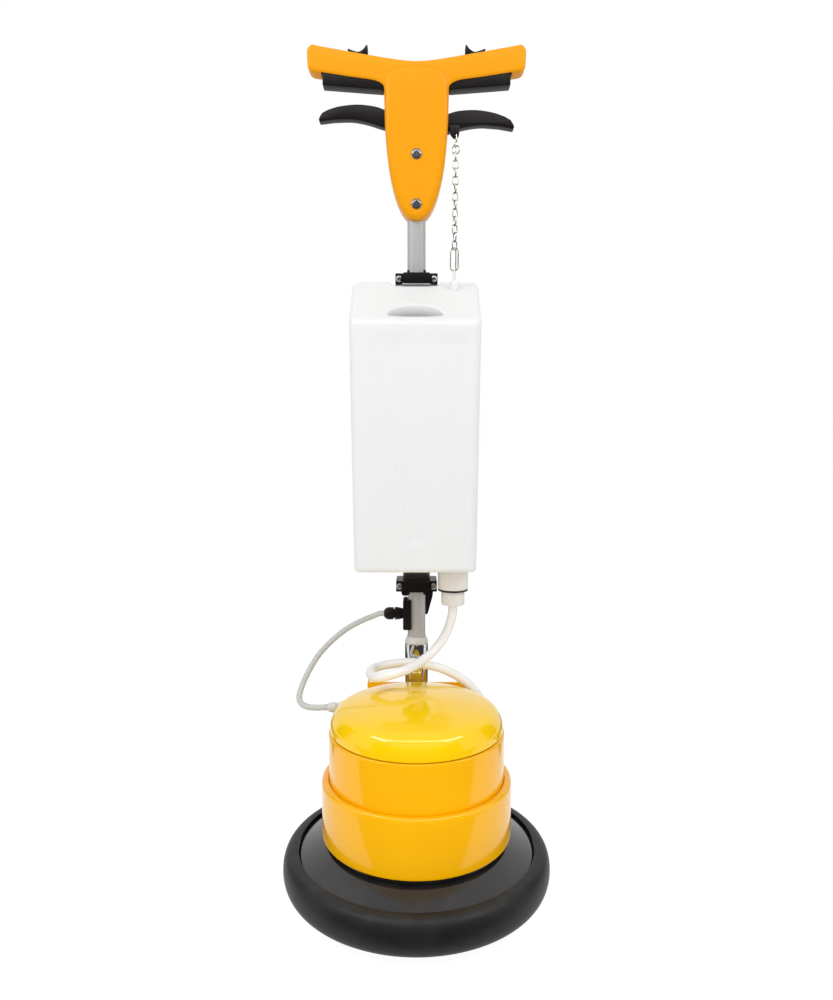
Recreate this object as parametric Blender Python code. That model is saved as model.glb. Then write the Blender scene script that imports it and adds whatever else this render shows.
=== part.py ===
"""Single-disc floor scrubber: round deck with planetary gearmotor, tilting pole, water tank and T-handle.

Metres, +Z up. The origin is on the floor under the disc's axis, +X to the right of someone who faces
the front of the machine, and +Y towards the pole and the wheels.
"""

import math

import bmesh
import bpy
from mathutils import Matrix, Vector

# Clearances
GAP = 0.0003  # between pieces that touch
RUN = 0.0008  # between pieces that turn or slide past each other

# Disc, bumper and deck
BUMPER_R = 0.215
BUMPER_LOW = 0.010
BUMPER_TOP = 0.068
BUMPER_IN_R = 0.1945
PAD_R = 0.184
PAD_HEIGHT = 0.0157
DRIVER_THICK = 0.012
DECK_RIM_Z = 0.0620
DECK_THICK = 0.006
DECK_CROWN_Z = 0.0680  # top of the deck round the drum
DECK_FLAT_R = 0.1815
SEAT_R = 0.1440  # raised ring that the skirt stands over
SEAT_Z = 0.0880

# Drum covers
SKIRT_R = 0.1524
SKIRT_LOW = 0.0900
SKIRT_TOP = 0.1810
CASING_R = 0.1405
CASING_TOP = 0.2570
DOME_R = CASING_R - 0.0023
DOME_TOP = 0.3180
SHELL = 0.0028

# Gear train: the sun on the motor shaft drives three planets inside the housing's ring
TOOTH_MODULE = 0.0028
SUN_TEETH = 9
PLANET_TEETH = 12
RING_TEETH = SUN_TEETH + 2 * PLANET_TEETH
PLANET_COUNT = 3
GEAR_WIDTH = 0.016
GEAR_LOW = 0.0900
CARRIER_R = 0.046
CARRIER_THICK = 0.010
CARRIER_HUB_R = 0.022
PLANET_PIN_R = 0.005
HOUSING_R = 0.070
HOUSING_TOP = 0.1180

# Motor
BASE_PLATE_THICK = 0.0080
STATOR_R = CASING_R - 0.0425
STATOR_BORE = 0.0560
STATOR_LOW = 0.1275
STATOR_TOP = 0.2120
AIR_GAP = 0.0010
SHAFT_R = 0.0085
SHAFT_TOP = 0.2620
BEARING_R = 0.0170
FAN_R = CASING_R - 0.0545
FAN_LOW = 0.2360
FAN_BLADES = 9
CAPACITOR_R = 0.0160
CAPACITOR_HEIGHT = 0.080

# Rear bracket, tilt pivot and wheels
POLE_Y = 0.1680
BRACKET_HALF = 0.0880
BRACKET_TOP = 0.2850
PLATE = 0.0040
PIVOT_Z = 0.1500
PIVOT_R = 0.0080
TILT_DISC_R = 0.0210
TILT_DISC_HALF = 0.0040
FORK_IN = 0.0060
FORK_OUT = 0.0130
AXLE_Y = BUMPER_R + 0.0300
AXLE_R = 0.0060
WHEEL_R = 0.0450
WHEEL_WIDTH = 0.0240
WHEEL_OFF_FLOOR = 0.0035

# Pole
STEM_R = 0.0210
STEM_TOP = 0.3520
POLE_R = 0.0160
POLE_WALL = 0.0016
POLE_LOW = 0.3000
BUSH_TOP = 0.3640
PIN_R = 0.0040

# Tank
TANK_X = -0.0020
TANK_FRONT = 0.0220
TANK_REAR = 0.1470
TANK_LOW = 0.5050
TANK_FRONT_TOP = 0.9070
TANK_REAR_TOP = 0.9930
TANK_TOP_HALF = 0.1050  # half width of the front at the slanted top's edge
TANK_LOW_HALF = 0.0985
TANK_REAR_HALF = 0.1075
TANK_WALL = 0.0035
TANK_ROUND = 0.0120
NOTCH_HALF = 0.0420
NOTCH_DEEP = 0.0120
NOTCH_LONG = 0.0240
MOUTH_R = 0.0440
MOUTH_UP = 0.0500  # from the front edge along the slant
NECK_X = 0.0635
NECK_Y = 0.1180
NECK_R = 0.0265
NECK_LOW = TANK_LOW - 0.0440
NECK_BORE = 0.0190
SEAL_THICK = 0.0030
NUT_R = 0.0203
NUT_HEIGHT = 0.0245
HOSE_R = 0.0079
ROD_R = 0.0028
GUIDE_R = 0.0075
GUIDE_TOP = TANK_REAR_TOP + 0.0050

# Clamps on the pole
CLAMP_HALF = 0.0225
EAR_HALF = 0.0362
CLAMP_HEIGHT = 0.0190
CLAMP_Z = (TANK_LOW - 0.0450, TANK_REAR_TOP + 0.0015)
CLAMP_FRONT = 0.1320
EAR_FRONT = 0.1400
STRAP_THICK = 0.0025
STRAP_HALF = 0.0240
SCREW_X = 0.0298

# Electrical glands and the hook
BOX_LOW = 0.3780
BOX_TOP = 0.4320
POLE_GLAND_Z = 0.4050
CABLE_R = 0.0050
MOTOR_GLAND_Y = 0.0600
MOTOR_GLAND_Z = 0.2690
MOTOR_GLAND_X = -(DOME_R - 0.0092)
FITTING_X = 0.1195
FITTING_Y = 0.1190

# Handle
GRIP_HALF = 0.1850
HANDLE_TOP = 1.3560
POLE_TOP = HANDLE_TOP - 0.0560
HANDLE_SLOPE = 0.1770
HANDLE_BEND = 0.0300
GRIP_UNDER = HANDLE_TOP - 0.0316  # underside of the grip where the hub's fillet starts
GRIP_UNDER_X = 0.0800
GRIP_UNDER_SLOPE = 0.1260
HUB_HALF = 0.0545
HUB_SHOULDER = HANDLE_TOP - 0.0610
HUB_TIP = HANDLE_TOP - 0.2617
HANDLE_FRONT = POLE_Y - 0.0280
HANDLE_SPLIT = POLE_Y - 0.0100
HANDLE_REAR = POLE_Y + 0.0080
HUB_REAR = POLE_Y + 0.0205
HANDLE_WALL = 0.0030
HUB_SCREWS = (HANDLE_TOP - 0.1544, HANDLE_TOP - 0.2368)
SWITCH_IN = 0.0590
SWITCH_OUT = 0.1590
SWITCH_LOW_IN = HANDLE_TOP - 0.0467
SWITCH_LOW_OUT = HANDLE_TOP - 0.0390
SWITCH_HALF = 0.0120
SWITCH_PIVOT = (0.0720, HANDLE_TOP - 0.0190)
LEVER_HALF = 0.0095
LEVER_PIVOT = (0.0350, HANDLE_TOP - 0.0940)
WATER_LEVER_DROP = 0.0060  # the water lever sits this much lower than the tilt lever
LEVER_PIN_R = 0.0040
THUMB_HALF = 0.0075
LUG_X = 0.0652
LUG_Y = HANDLE_FRONT + 0.0060
LUG_LOW = HANDLE_TOP - 0.1280
CHAIN_R = 0.0020
CLIP_R = 0.0060
CLIP_LONG = 0.0370

BIG = 36  # steps round the drum and the deck
ROUND = 24
SMALL = 8


def clear_scene():
    for thing in list(bpy.data.objects):
        bpy.data.objects.remove(thing, do_unlink=True)


def finish(name, color, roughness, metallic=0.0):
    """A plain material of one colour, made once."""
    material = bpy.data.materials.get(name)
    if material:
        return material
    material = bpy.data.materials.new(name)
    material.use_nodes = True
    shader = material.node_tree.nodes["Principled BSDF"]
    shader.inputs["Base Color"].default_value = (*color, 1)
    shader.inputs["Roughness"].default_value = roughness
    shader.inputs["Metallic"].default_value = metallic
    return material


def yellow_paint():
    return finish("yellow_paint", (1.0, 0.55, 0.0), 0.25)


def orange_plastic():
    return finish("orange_plastic", (0.93, 0.36, 0.0), 0.4)


def black_plastic():
    return finish("black_plastic", (0.012, 0.011, 0.011), 0.45)


def black_paint():
    return finish("black_paint", (0.02, 0.02, 0.022), 0.2)


def rubber():
    return finish("rubber", (0.03, 0.03, 0.03), 0.7)


def tank_plastic():
    return finish("tank_plastic", (0.88, 0.88, 0.87), 0.4)


def grey_plastic():
    return finish("grey_plastic", (0.6, 0.6, 0.58), 0.45)


def aluminium():
    return finish("aluminium", (0.62, 0.62, 0.63), 0.35, 1.0)


def chrome():
    return finish("chrome", (0.8, 0.8, 0.82), 0.08, 1.0)


def steel():
    return finish("steel", (0.5, 0.5, 0.52), 0.35, 1.0)


def copper_core():
    return finish("lamination", (0.25, 0.24, 0.24), 0.5, 1.0)


def pad_fibre():
    return finish("pad_fibre", (0.45, 0.03, 0.02), 0.95)


def adopt(name, mesh_builder, material, pivot=(0, 0, 0)):
    """An object from a bmesh in world places, with its origin moved to the pivot."""
    bmesh.ops.remove_doubles(mesh_builder, verts=mesh_builder.verts, dist=1e-6)
    bmesh.ops.recalc_face_normals(mesh_builder, faces=mesh_builder.faces)
    mesh_builder.transform(Matrix.Translation(-Vector(pivot)))
    mesh = bpy.data.meshes.new(name)
    mesh_builder.to_mesh(mesh)
    mesh_builder.free()
    mesh.shade_smooth()
    mesh.set_sharp_from_angle(angle=math.radians(35))
    mesh.materials.append(material)
    thing = bpy.data.objects.new(name, mesh)
    thing.location = pivot
    bpy.context.scene.collection.objects.link(thing)
    return thing


def along(axis, place):
    """The matrix that turns +Z to an axis and moves the origin to a place."""
    turn = Vector((0, 0, 1)).rotation_difference(Vector(axis)).to_matrix().to_4x4()
    return Matrix.Translation(Vector(place)) @ turn


def turned_mesh(profile, steps=ROUND, matrix=None):
    """A profile of (radius, height) points turned about Z, closed on itself or on the axis."""
    made = bmesh.new()
    points = [made.verts.new((radius, 0, height)) for radius, height in profile]
    for first, second in zip(points, points[1:]):
        made.edges.new((first, second))
    if profile[0][0] > 0:
        made.edges.new((points[-1], points[0]))
    bmesh.ops.spin(
        made, geom=made.verts[:] + made.edges[:], cent=(0, 0, 0), axis=(0, 0, 1),
        angle=2 * math.pi, steps=steps, use_merge=True,
    )
    bmesh.ops.remove_doubles(made, verts=made.verts, dist=1e-6)
    if matrix:
        made.transform(matrix)
    return made


def turned(name, profile, material, steps=ROUND, axis=(0, 0, 1), place=(0, 0, 0), pivot=None):
    made = turned_mesh(profile, steps, along(axis, place))
    return adopt(name, made, material, pivot or place)


def rod_profile(radius, low, high):
    return [(0, low), (radius, low), (radius, high), (0, high)]


def ring_profile(inner, outer, low, high):
    return [(inner, low), (outer, low), (outer, high), (inner, high)]


def box_mesh(low, high, rounding=0.0, segments=1):
    made = bmesh.new()
    size = [b - a for a, b in zip(low, high)]
    middle = [(a + b) / 2 for a, b in zip(low, high)]
    bmesh.ops.create_cube(made, size=1)
    bmesh.ops.scale(made, vec=size, verts=made.verts)
    bmesh.ops.translate(made, vec=middle, verts=made.verts)
    if rounding:
        bmesh.ops.bevel(
            made, geom=made.edges[:], offset=rounding, segments=segments, profile=0.5,
            affect="EDGES", material=-1,
        )
    return made


def plate_mesh(outline, start, end, plane="XZ"):
    """An outline extruded from start to end along the axis that its plane leaves out."""
    made = bmesh.new()
    if plane == "XZ":
        corners = [(a, start, b) for a, b in outline]
        step = (0, end - start, 0)
    elif plane == "YZ":
        corners = [(start, a, b) for a, b in outline]
        step = (end - start, 0, 0)
    else:
        corners = [(a, b, start) for a, b in outline]
        step = (0, 0, end - start)
    face = made.faces.new([made.verts.new(corner) for corner in corners])
    grown = bmesh.ops.extrude_face_region(made, geom=[face])
    moved = [item for item in grown["geom"] if isinstance(item, bmesh.types.BMVert)]
    bmesh.ops.translate(made, vec=step, verts=moved)
    return made


def cutter(made):
    """A hidden shape that a Boolean takes away or adds."""
    tool = adopt("tool", made, steel())
    tool.hide_render = True
    tool.display_type = "WIRE"
    return tool


def change(thing, operation, made):
    step = thing.modifiers.new(operation.lower(), "BOOLEAN")
    step.operation = operation
    step.solver = "EXACT"
    step.object = cutter(made)


def take(thing, made):
    change(thing, "DIFFERENCE", made)


def add(thing, made):
    change(thing, "UNION", made)


def arc(middle, radius, start, end, steps):
    """Points on an arc between two angles in degrees."""
    angles = [math.radians(start + (end - start) * i / steps) for i in range(steps + 1)]
    return [(middle[0] + radius * math.cos(a), middle[1] + radius * math.sin(a)) for a in angles]


def make_deck():
    """Pressed deck with a rim, a crown, and the raised seat of the gearbox and skirt."""
    low = DECK_RIM_Z
    rim = BUMPER_IN_R - GAP
    hole = CARRIER_HUB_R + RUN
    crown = DECK_CROWN_Z
    profile = [
        (hole, crown - DECK_THICK), (DECK_FLAT_R - 0.004, crown - DECK_THICK), (rim - 0.006, low - DECK_THICK),
        (rim, low - DECK_THICK), (rim, low), (rim - 0.003, low + 0.0025), (DECK_FLAT_R, crown),
        (SEAT_R, crown), (SEAT_R, SEAT_Z), (SEAT_R - 0.016, SEAT_Z),
        (SEAT_R - 0.016, crown), (hole, crown),
    ]
    deck = turned("deck", profile, black_paint(), BIG)
    take(deck, box_mesh((-0.1, bracket_face() - GAP, crown + 0.0002), (0.1, 0.2, SEAT_Z + 0.01)))


def make_bumper():
    """Rubber ring round the deck's rim."""
    middle = (BUMPER_LOW + BUMPER_TOP) / 2
    half = (BUMPER_TOP - BUMPER_LOW) / 2
    outside = arc((BUMPER_R - 0.022, middle), 1.0, -90, 90, 7)
    profile = [(BUMPER_IN_R - 0.0075, BUMPER_LOW)]
    for radius, height in outside:
        across = (radius - BUMPER_R + 0.022) * 0.022
        up = (height - middle) * half
        profile.append((BUMPER_R - 0.022 + across, middle + up))
    lip = DECK_RIM_Z + 0.003
    profile += [(BUMPER_IN_R - 0.001, BUMPER_TOP - 0.001), (BUMPER_IN_R - 0.0005, lip)]
    profile += [(BUMPER_IN_R, lip - 0.001), (BUMPER_IN_R, DECK_RIM_Z - DECK_THICK - GAP)]
    profile += [(BUMPER_IN_R - 0.0075, DECK_RIM_Z - DECK_THICK - GAP)]
    turned("bumper", profile, rubber(), BIG)


def gear_outline(teeth, tip, root, width, turn):
    """A gear's outline with four points to a tooth; tip and root are radii and width a share of the pitch."""
    points = []
    for tooth in range(teeth):
        middle = turn + 2 * math.pi * tooth / teeth
        half_root = math.pi / teeth * width * 1.35
        half_tip = math.pi / teeth * width * 0.55
        for angle, radius in ((-half_root, root), (-half_tip, tip), (half_tip, tip), (half_root, root)):
            points.append((radius * math.cos(middle + angle), radius * math.sin(middle + angle)))
    return points


def sun_outline():
    pitch = SUN_TEETH * TOOTH_MODULE / 2
    return gear_outline(SUN_TEETH, pitch + 0.0015, pitch - 0.0025, 0.46, 0)


def planet_angle(number):
    return 2 * math.pi * number / PLANET_COUNT


def orbit_radius():
    return (SUN_TEETH + PLANET_TEETH) * TOOTH_MODULE / 2


def planet_turn(angle):
    """The turn of a planet about its own axis that sets a gap of it towards the sun's tooth."""
    sun_phase = angle * SUN_TEETH / (2 * math.pi)
    half = math.pi / PLANET_TEETH
    return angle + math.pi + half + (sun_phase % 1) * 2 * half


def make_gearbox_housing():
    """Housing with the internal ring gear, standing on the deck."""
    seat = DECK_CROWN_Z + GAP
    inner = RING_TEETH * TOOTH_MODULE / 2 + 0.0025
    carrier_room = CARRIER_R + 0.0015
    profile = [
        (carrier_room, seat), (HOUSING_R + 0.012, seat), (HOUSING_R + 0.012, seat + 0.006),
        (HOUSING_R, seat + 0.008), (HOUSING_R, HOUSING_TOP), (SHAFT_R + 0.008, HOUSING_TOP),
        (SHAFT_R + 0.008, HOUSING_TOP - 0.006), (inner, HOUSING_TOP - 0.006),
        (inner, GEAR_LOW - 0.001), (carrier_room, GEAR_LOW - 0.001),
    ]
    housing = turned("gearbox_housing", profile, aluminium())
    pitch = RING_TEETH * TOOTH_MODULE / 2
    teeth = gear_outline(RING_TEETH, pitch - 0.0015, pitch + 0.0029, 0.44, 0)
    ring = plate_mesh(teeth, GEAR_LOW, GEAR_LOW + GEAR_WIDTH, "XY")
    hollow = adopt("ring_hollow", ring, steel())
    hollow.hide_render = True
    hollow.display_type = "WIRE"
    blank = turned_mesh(rod_profile(inner + 0.002, GEAR_LOW, GEAR_LOW + GEAR_WIDTH))
    rim = cutter(blank)
    carve = rim.modifiers.new("teeth", "BOOLEAN")
    carve.operation = "DIFFERENCE"
    carve.object = hollow
    step = housing.modifiers.new("ring", "BOOLEAN")
    step.operation = "UNION"
    step.object = rim


def make_output_carrier():
    """Carrier plate with three planet pins, and the hub that goes down to the pad driver."""
    top = GEAR_LOW - RUN
    low = PAD_HEIGHT + GAP + DRIVER_THICK + GAP
    profile = [
        (0, low), (0.040, low), (0.040, low + 0.006), (CARRIER_HUB_R, low + 0.008),
        (CARRIER_HUB_R, top - CARRIER_THICK), (CARRIER_R, top - CARRIER_THICK), (CARRIER_R, top), (0, top),
    ]
    carrier = turned("output_carrier", profile, steel())
    for number in range(PLANET_COUNT):
        angle = planet_angle(number)
        place = (orbit_radius() * math.cos(angle), orbit_radius() * math.sin(angle), 0)
        pin = turned_mesh(
            rod_profile(PLANET_PIN_R, top - 0.004, GEAR_LOW + GEAR_WIDTH - 0.001), SMALL,
            Matrix.Translation(place),
        )
        add(carrier, pin)


def make_planet_gears():
    pitch = PLANET_TEETH * TOOTH_MODULE / 2
    for number in range(PLANET_COUNT):
        angle = planet_angle(number)
        outline = gear_outline(
            PLANET_TEETH, pitch + 0.0015, pitch - 0.0025, 0.44, planet_turn(angle)
        )
        made = plate_mesh(outline, GEAR_LOW, GEAR_LOW + GEAR_WIDTH - 0.002, "XY")
        place = Vector((orbit_radius() * math.cos(angle), orbit_radius() * math.sin(angle), 0))
        made.transform(Matrix.Translation(place))
        gear = adopt(f"planet_gear_{number + 1}", made, steel(), place)
        clear = (PLANET_PIN_R + GAP) / math.cos(math.pi / SMALL)  # so that the bore's flats miss the pin
        bore = turned_mesh(
            rod_profile(clear, GEAR_LOW - 0.01, GEAR_LOW + 0.03), SMALL,
            Matrix.Translation(place),
        )
        take(gear, bore)


def make_rotor_shaft():
    """Motor shaft with the sun gear cut on its lower end."""
    shaft = turned(
        "rotor_shaft", rod_profile(SHAFT_R, GEAR_LOW + GEAR_WIDTH - 0.001, SHAFT_TOP), steel(), 24
    )
    add(shaft, plate_mesh(sun_outline(), GEAR_LOW + 0.001, GEAR_LOW + GEAR_WIDTH, "XY"))


def make_pad_driver():
    low = PAD_HEIGHT + GAP
    high = low + DRIVER_THICK
    profile = [
        (0, low), (PAD_R + 0.002, low), (PAD_R + 0.002, low + 0.004), (PAD_R - 0.010, high),
        (0, high),
    ]
    turned("pad_driver", profile, black_plastic(), BIG)


def make_floor_pad():
    profile = [(0, 0), (PAD_R - 0.002, 0), (PAD_R, 0.002), (PAD_R, PAD_HEIGHT), (0, PAD_HEIGHT)]
    turned("floor_pad", profile, pad_fibre(), BIG)


def make_motor():
    """Base plate, stator, end shield, bearings, rotor core, fan and capacitor."""
    plate_low = HOUSING_TOP + GAP
    plate_high = plate_low + BASE_PLATE_THICK
    bore = BEARING_R + GAP
    turned("motor_base_plate", ring_profile(bore, CASING_R - 0.0004, plate_low, plate_high), aluminium())
    bearing = ring_profile(SHAFT_R + GAP, BEARING_R, plate_low, plate_high - 0.0005)
    turned("lower_bearing", bearing, steel(), 16)
    stator = ring_profile(STATOR_BORE, STATOR_R, plate_high + GAP, STATOR_TOP)
    turned("stator", stator, copper_core(), ROUND)
    shield_low = STATOR_TOP + GAP
    shield_high = shield_low + 0.009
    turned("motor_end_shield", ring_profile(bore, STATOR_R, shield_low, shield_high), aluminium(), ROUND)
    turned("upper_bearing", ring_profile(SHAFT_R + GAP, BEARING_R, shield_low, shield_high), steel(), 16)
    core = ring_profile(SHAFT_R + GAP, STATOR_BORE - AIR_GAP, STATOR_LOW + 0.006, STATOR_TOP - 0.006)
    turned("rotor_core", core, copper_core(), ROUND)
    make_fan()
    place = (0, -(STATOR_R + 0.0015 + CAPACITOR_R), 0)
    top = plate_high + GAP + CAPACITOR_HEIGHT
    profile = rod_profile(CAPACITOR_R, plate_high + GAP, top)
    turned("run_capacitor", profile, grey_plastic(), 16, place=place)


def make_fan():
    """Radial fan on the shaft: a disc, a hub and straight blades."""
    profile = [
        (SHAFT_R + GAP, FAN_LOW), (FAN_R, FAN_LOW), (FAN_R, FAN_LOW + 0.002),
        (SHAFT_R + 0.006, FAN_LOW + 0.002), (SHAFT_R + 0.006, FAN_LOW + 0.016),
        (SHAFT_R + GAP, FAN_LOW + 0.016),
    ]
    fan = turned("cooling_fan", profile, black_plastic())
    for number in range(FAN_BLADES):
        blade = box_mesh((0.035, -0.001, FAN_LOW + 0.001), (FAN_R - 0.002, 0.001, FAN_LOW + 0.016))
        blade.transform(Matrix.Rotation(2 * math.pi * number / FAN_BLADES, 4, "Z"))
        add(fan, blade)


def make_drum_covers():
    """Skirt over the gearbox, motor casing above it, and the domed cover over the fan."""
    neck = CASING_R + GAP
    skirt = [
        (SKIRT_R - SHELL, SKIRT_LOW), (SKIRT_R, SKIRT_LOW), (SKIRT_R, SKIRT_TOP - 0.008),
        (SKIRT_R - 0.0023, SKIRT_TOP - 0.0023), (neck + 0.003, SKIRT_TOP), (neck, SKIRT_TOP),
        (neck, SKIRT_TOP - SHELL), (SKIRT_R - SHELL - 0.003, SKIRT_TOP - SHELL - 0.002),
        (SKIRT_R - SHELL, SKIRT_TOP - 0.012),
    ]
    cover = turned("drum_skirt", skirt, yellow_paint(), BIG)
    shelf = ring_profile(SEAT_R - 0.012, SKIRT_R - 0.001, SKIRT_LOW, SKIRT_LOW + 0.0035)
    shelf_mesh = turned_mesh(shelf, BIG)
    add(cover, shelf_mesh)
    take(cover, box_mesh((-0.1, bracket_face() - GAP, 0), (0.1, 0.3, 0.4)))
    low = HOUSING_TOP + GAP + BASE_PLATE_THICK + GAP
    turned("motor_casing", ring_profile(CASING_R - SHELL, CASING_R, low, CASING_TOP), yellow_paint(), BIG)
    make_dome()


def dome_profile(offset):
    """The dome's outline from its rim to its crown, pulled in by an offset."""
    rim = DOME_R - offset
    shoulder = arc((DOME_R - 0.0360, DOME_TOP - 0.0415), 0.0360 - offset, 0, 62, 4)
    crown = [(0.0700, DOME_TOP - 0.0022 - offset), (0.0350, DOME_TOP - 0.0005 - offset)]
    return [(rim, CASING_TOP + GAP), *shoulder, *crown]


def make_dome():
    outer = dome_profile(0)
    inner = dome_profile(SHELL)
    spigot = CASING_R - SHELL - GAP
    profile = [(0, DOME_TOP), *reversed(outer), (spigot, CASING_TOP + GAP)]
    profile += [(spigot, CASING_TOP - 0.006), (spigot - 0.002, CASING_TOP - 0.006)]
    profile += [(spigot - 0.0025, CASING_TOP + 0.004), *inner[1:], (0, DOME_TOP - SHELL)]
    dome = turned("dome_cover", profile, yellow_paint(), BIG)
    middle = (0, MOTOR_GLAND_Y, MOTOR_GLAND_Z)
    root = DOME_R - 0.0262
    boss = turned_mesh(rod_profile(0.0105, root, -MOTOR_GLAND_X - GAP), 12, along((-1, 0, 0), middle))
    add(dome, boss)


def bracket_face():
    return CASING_R + 0.0007


def bracket_outline():
    """A cheek's outline in the side view, over the bumper and down to the axle."""
    front = bracket_face() + PLATE / 2
    axle_z = WHEEL_R + WHEEL_OFF_FLOOR
    over = BUMPER_TOP + 0.004
    foot = arc((AXLE_Y, axle_z), 0.0140, 190, 380, 8)
    return [
        (front, over), (BUMPER_R - 0.0090, over), (BUMPER_R + 0.0030, 0.0600), *foot,
        (AXLE_Y - 0.0030, 0.1100), (POLE_Y + 0.0370, 0.2250),
        (POLE_Y + 0.0200, BRACKET_TOP - 0.006), (POLE_Y + 0.0140, BRACKET_TOP), (front, BRACKET_TOP),
    ]


def make_rear_bracket():
    """Channel on the back of the drum that carries the pole's pivot and the wheels' axle."""
    face = bracket_face()
    low = BUMPER_TOP + 0.004
    plate = box_mesh((-BRACKET_HALF, face, low), (BRACKET_HALF, face + PLATE, BRACKET_TOP))
    bracket = adopt("rear_bracket", plate, yellow_paint())
    for side in (-1, 1):
        outer = side * BRACKET_HALF
        inner = side * (BRACKET_HALF - PLATE)
        add(bracket, plate_mesh(bracket_outline(), min(outer, inner), max(outer, inner), "YZ"))
    foot_low = DECK_CROWN_Z + 2 * GAP
    add(bracket, box_mesh(
        (-BRACKET_HALF + 0.001, SEAT_R + GAP, foot_low), (BRACKET_HALF - 0.001, 0.1620, foot_low + 0.006)
    ))
    long_hole = rod_profile(PIVOT_R + GAP / 2, -0.12, 0.12)
    take(bracket, turned_mesh(long_hole, ROUND, along((1, 0, 0), (0, POLE_Y, PIVOT_Z))))
    axle_hole = rod_profile(AXLE_R + GAP / 2, -0.12, 0.12)
    take(bracket, turned_mesh(axle_hole, 12, along((1, 0, 0), (0, AXLE_Y, WHEEL_R + WHEEL_OFF_FLOOR))))


def make_tilt_pivot():
    """Shaft through the bracket with the brake disc that the locking pin presses on."""
    end = BRACKET_HALF + 0.004
    head = PIVOT_R + 0.005
    half = TILT_DISC_HALF
    profile = [
        (0, -end), (head, -end), (head, -BRACKET_HALF - GAP), (PIVOT_R, -BRACKET_HALF - GAP),
        (PIVOT_R, -half), (TILT_DISC_R, -half), (TILT_DISC_R, half), (PIVOT_R, half),
        (PIVOT_R, BRACKET_HALF + GAP), (head, BRACKET_HALF + GAP), (head, end), (0, end),
    ]
    turned("pivot_shaft", profile, steel(), ROUND, axis=(1, 0, 0), place=(0, POLE_Y, PIVOT_Z))


def make_wheels():
    """Axle through the bracket and a solid rubber wheel on each end."""
    centre = (0, AXLE_Y, WHEEL_R + WHEEL_OFF_FLOOR)
    inner = BRACKET_HALF + 0.0040
    outer = inner + WHEEL_WIDTH
    end = outer + 0.0050
    cap = AXLE_R + 0.0050
    half = [(cap, end), (cap, outer + RUN), (AXLE_R, outer + RUN)]
    mirrored = [(radius, -height) for radius, height in reversed(half)]
    profile = [(0, end), *half, *mirrored, (0, -end)]
    turned("wheel_axle", profile, steel(), 12, axis=(1, 0, 0), place=centre)
    for name, side in (("wheel_left", -1), ("wheel_right", 1)):
        section = [
            (AXLE_R + GAP, inner), (0.013, inner), (0.013, inner + 0.004), (0.030, inner + 0.004),
            (0.030, inner), (WHEEL_R - 0.004, inner), (WHEEL_R, inner + 0.005),
            (WHEEL_R, outer - 0.005), (WHEEL_R - 0.004, outer), (0.030, outer), (0.030, outer - 0.004),
            (0.013, outer - 0.004), (0.013, outer), (AXLE_R + GAP, outer),
        ]
        turned(name, section, rubber(), 20, axis=(side, 0, 0), place=centre)


def make_stem():
    """Chromed stem: a fork over the brake disc, a guide for the pin, and the socket of the tube."""
    collar_low = PIVOT_Z + TILT_DISC_R + 0.0030
    base = (0, POLE_Y, 0)
    socket = POLE_R + GAP
    profile = [
        (PIN_R + GAP, collar_low), (STEM_R, collar_low), (STEM_R, STEM_TOP), (socket, STEM_TOP),
        (socket, POLE_LOW - GAP), (POLE_R - POLE_WALL, POLE_LOW - GAP),
        (POLE_R - POLE_WALL, collar_low + 0.030), (PIN_R + GAP, collar_low + 0.030),
    ]
    stem = turned("chrome_stem", profile, chrome(), ROUND, place=base, pivot=(0, POLE_Y, PIVOT_Z))
    for side in (-1, 1):
        low = min(side * FORK_IN, side * FORK_OUT)
        high = max(side * FORK_IN, side * FORK_OUT)
        round_end = arc((POLE_Y, PIVOT_Z), 0.0150, 180, 360, 10)
        top = collar_low + 0.002
        outline = [*round_end, (POLE_Y + 0.0150, top), (POLE_Y - 0.0150, top)]
        add(stem, plate_mesh(outline, low, high, "YZ"))
    hole = rod_profile(PIVOT_R + GAP, -0.03, 0.03)
    take(stem, turned_mesh(hole, 12, along((1, 0, 0), (0, POLE_Y, PIVOT_Z))))


def make_pole():
    """Locking pin, reducing bush and the anodised tube."""
    base = (0, POLE_Y, 0)
    pivot = (0, POLE_Y, PIVOT_Z)
    pin_low = PIVOT_Z + TILT_DISC_R + GAP
    turned("lock_pin", rod_profile(PIN_R, pin_low, POLE_LOW - 0.010), steel(), SMALL, place=base)
    bush = [
        (POLE_R + GAP, STEM_TOP + GAP), (STEM_R + 0.0002, STEM_TOP + GAP),
        (STEM_R + 0.0002, STEM_TOP + 0.004), (POLE_R + 0.0012, BUSH_TOP), (POLE_R + GAP, BUSH_TOP),
    ]
    turned("pole_bush", bush, grey_plastic(), 20, place=base, pivot=pivot)
    tube = ring_profile(POLE_R - POLE_WALL, POLE_R, POLE_LOW, POLE_TOP)
    pole = turned("pole_tube", tube, aluminium(), 20, place=base, pivot=pivot)
    for height in HUB_SCREWS:
        hole = rod_profile(0.0033, 0, 0.012)
        take(pole, turned_mesh(hole, SMALL, along((0, 1, 0), (0, POLE_Y - POLE_R - 0.006, height))))


def tank_corners(wall):
    """The eight corners of the tank, pulled in by a wall."""
    slope = (TANK_REAR_TOP - TANK_FRONT_TOP) / (TANK_REAR - TANK_FRONT)
    lift = wall * math.sqrt(1 + slope * slope)
    front = TANK_FRONT + wall
    rear = TANK_REAR - wall
    top_front = TANK_FRONT_TOP - lift + slope * wall
    top_rear = TANK_REAR_TOP - lift - slope * wall
    corners = []
    for side in (-1, 1):
        low_half = side * (TANK_LOW_HALF - wall)
        corners += [
            (TANK_X + low_half, front, TANK_LOW + wall),
            (TANK_X + low_half, rear, TANK_LOW + wall),
            (TANK_X + side * (TANK_REAR_HALF - wall), rear, top_rear),
            (TANK_X + side * (TANK_TOP_HALF - wall), front, top_front),
        ]
    return corners


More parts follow.
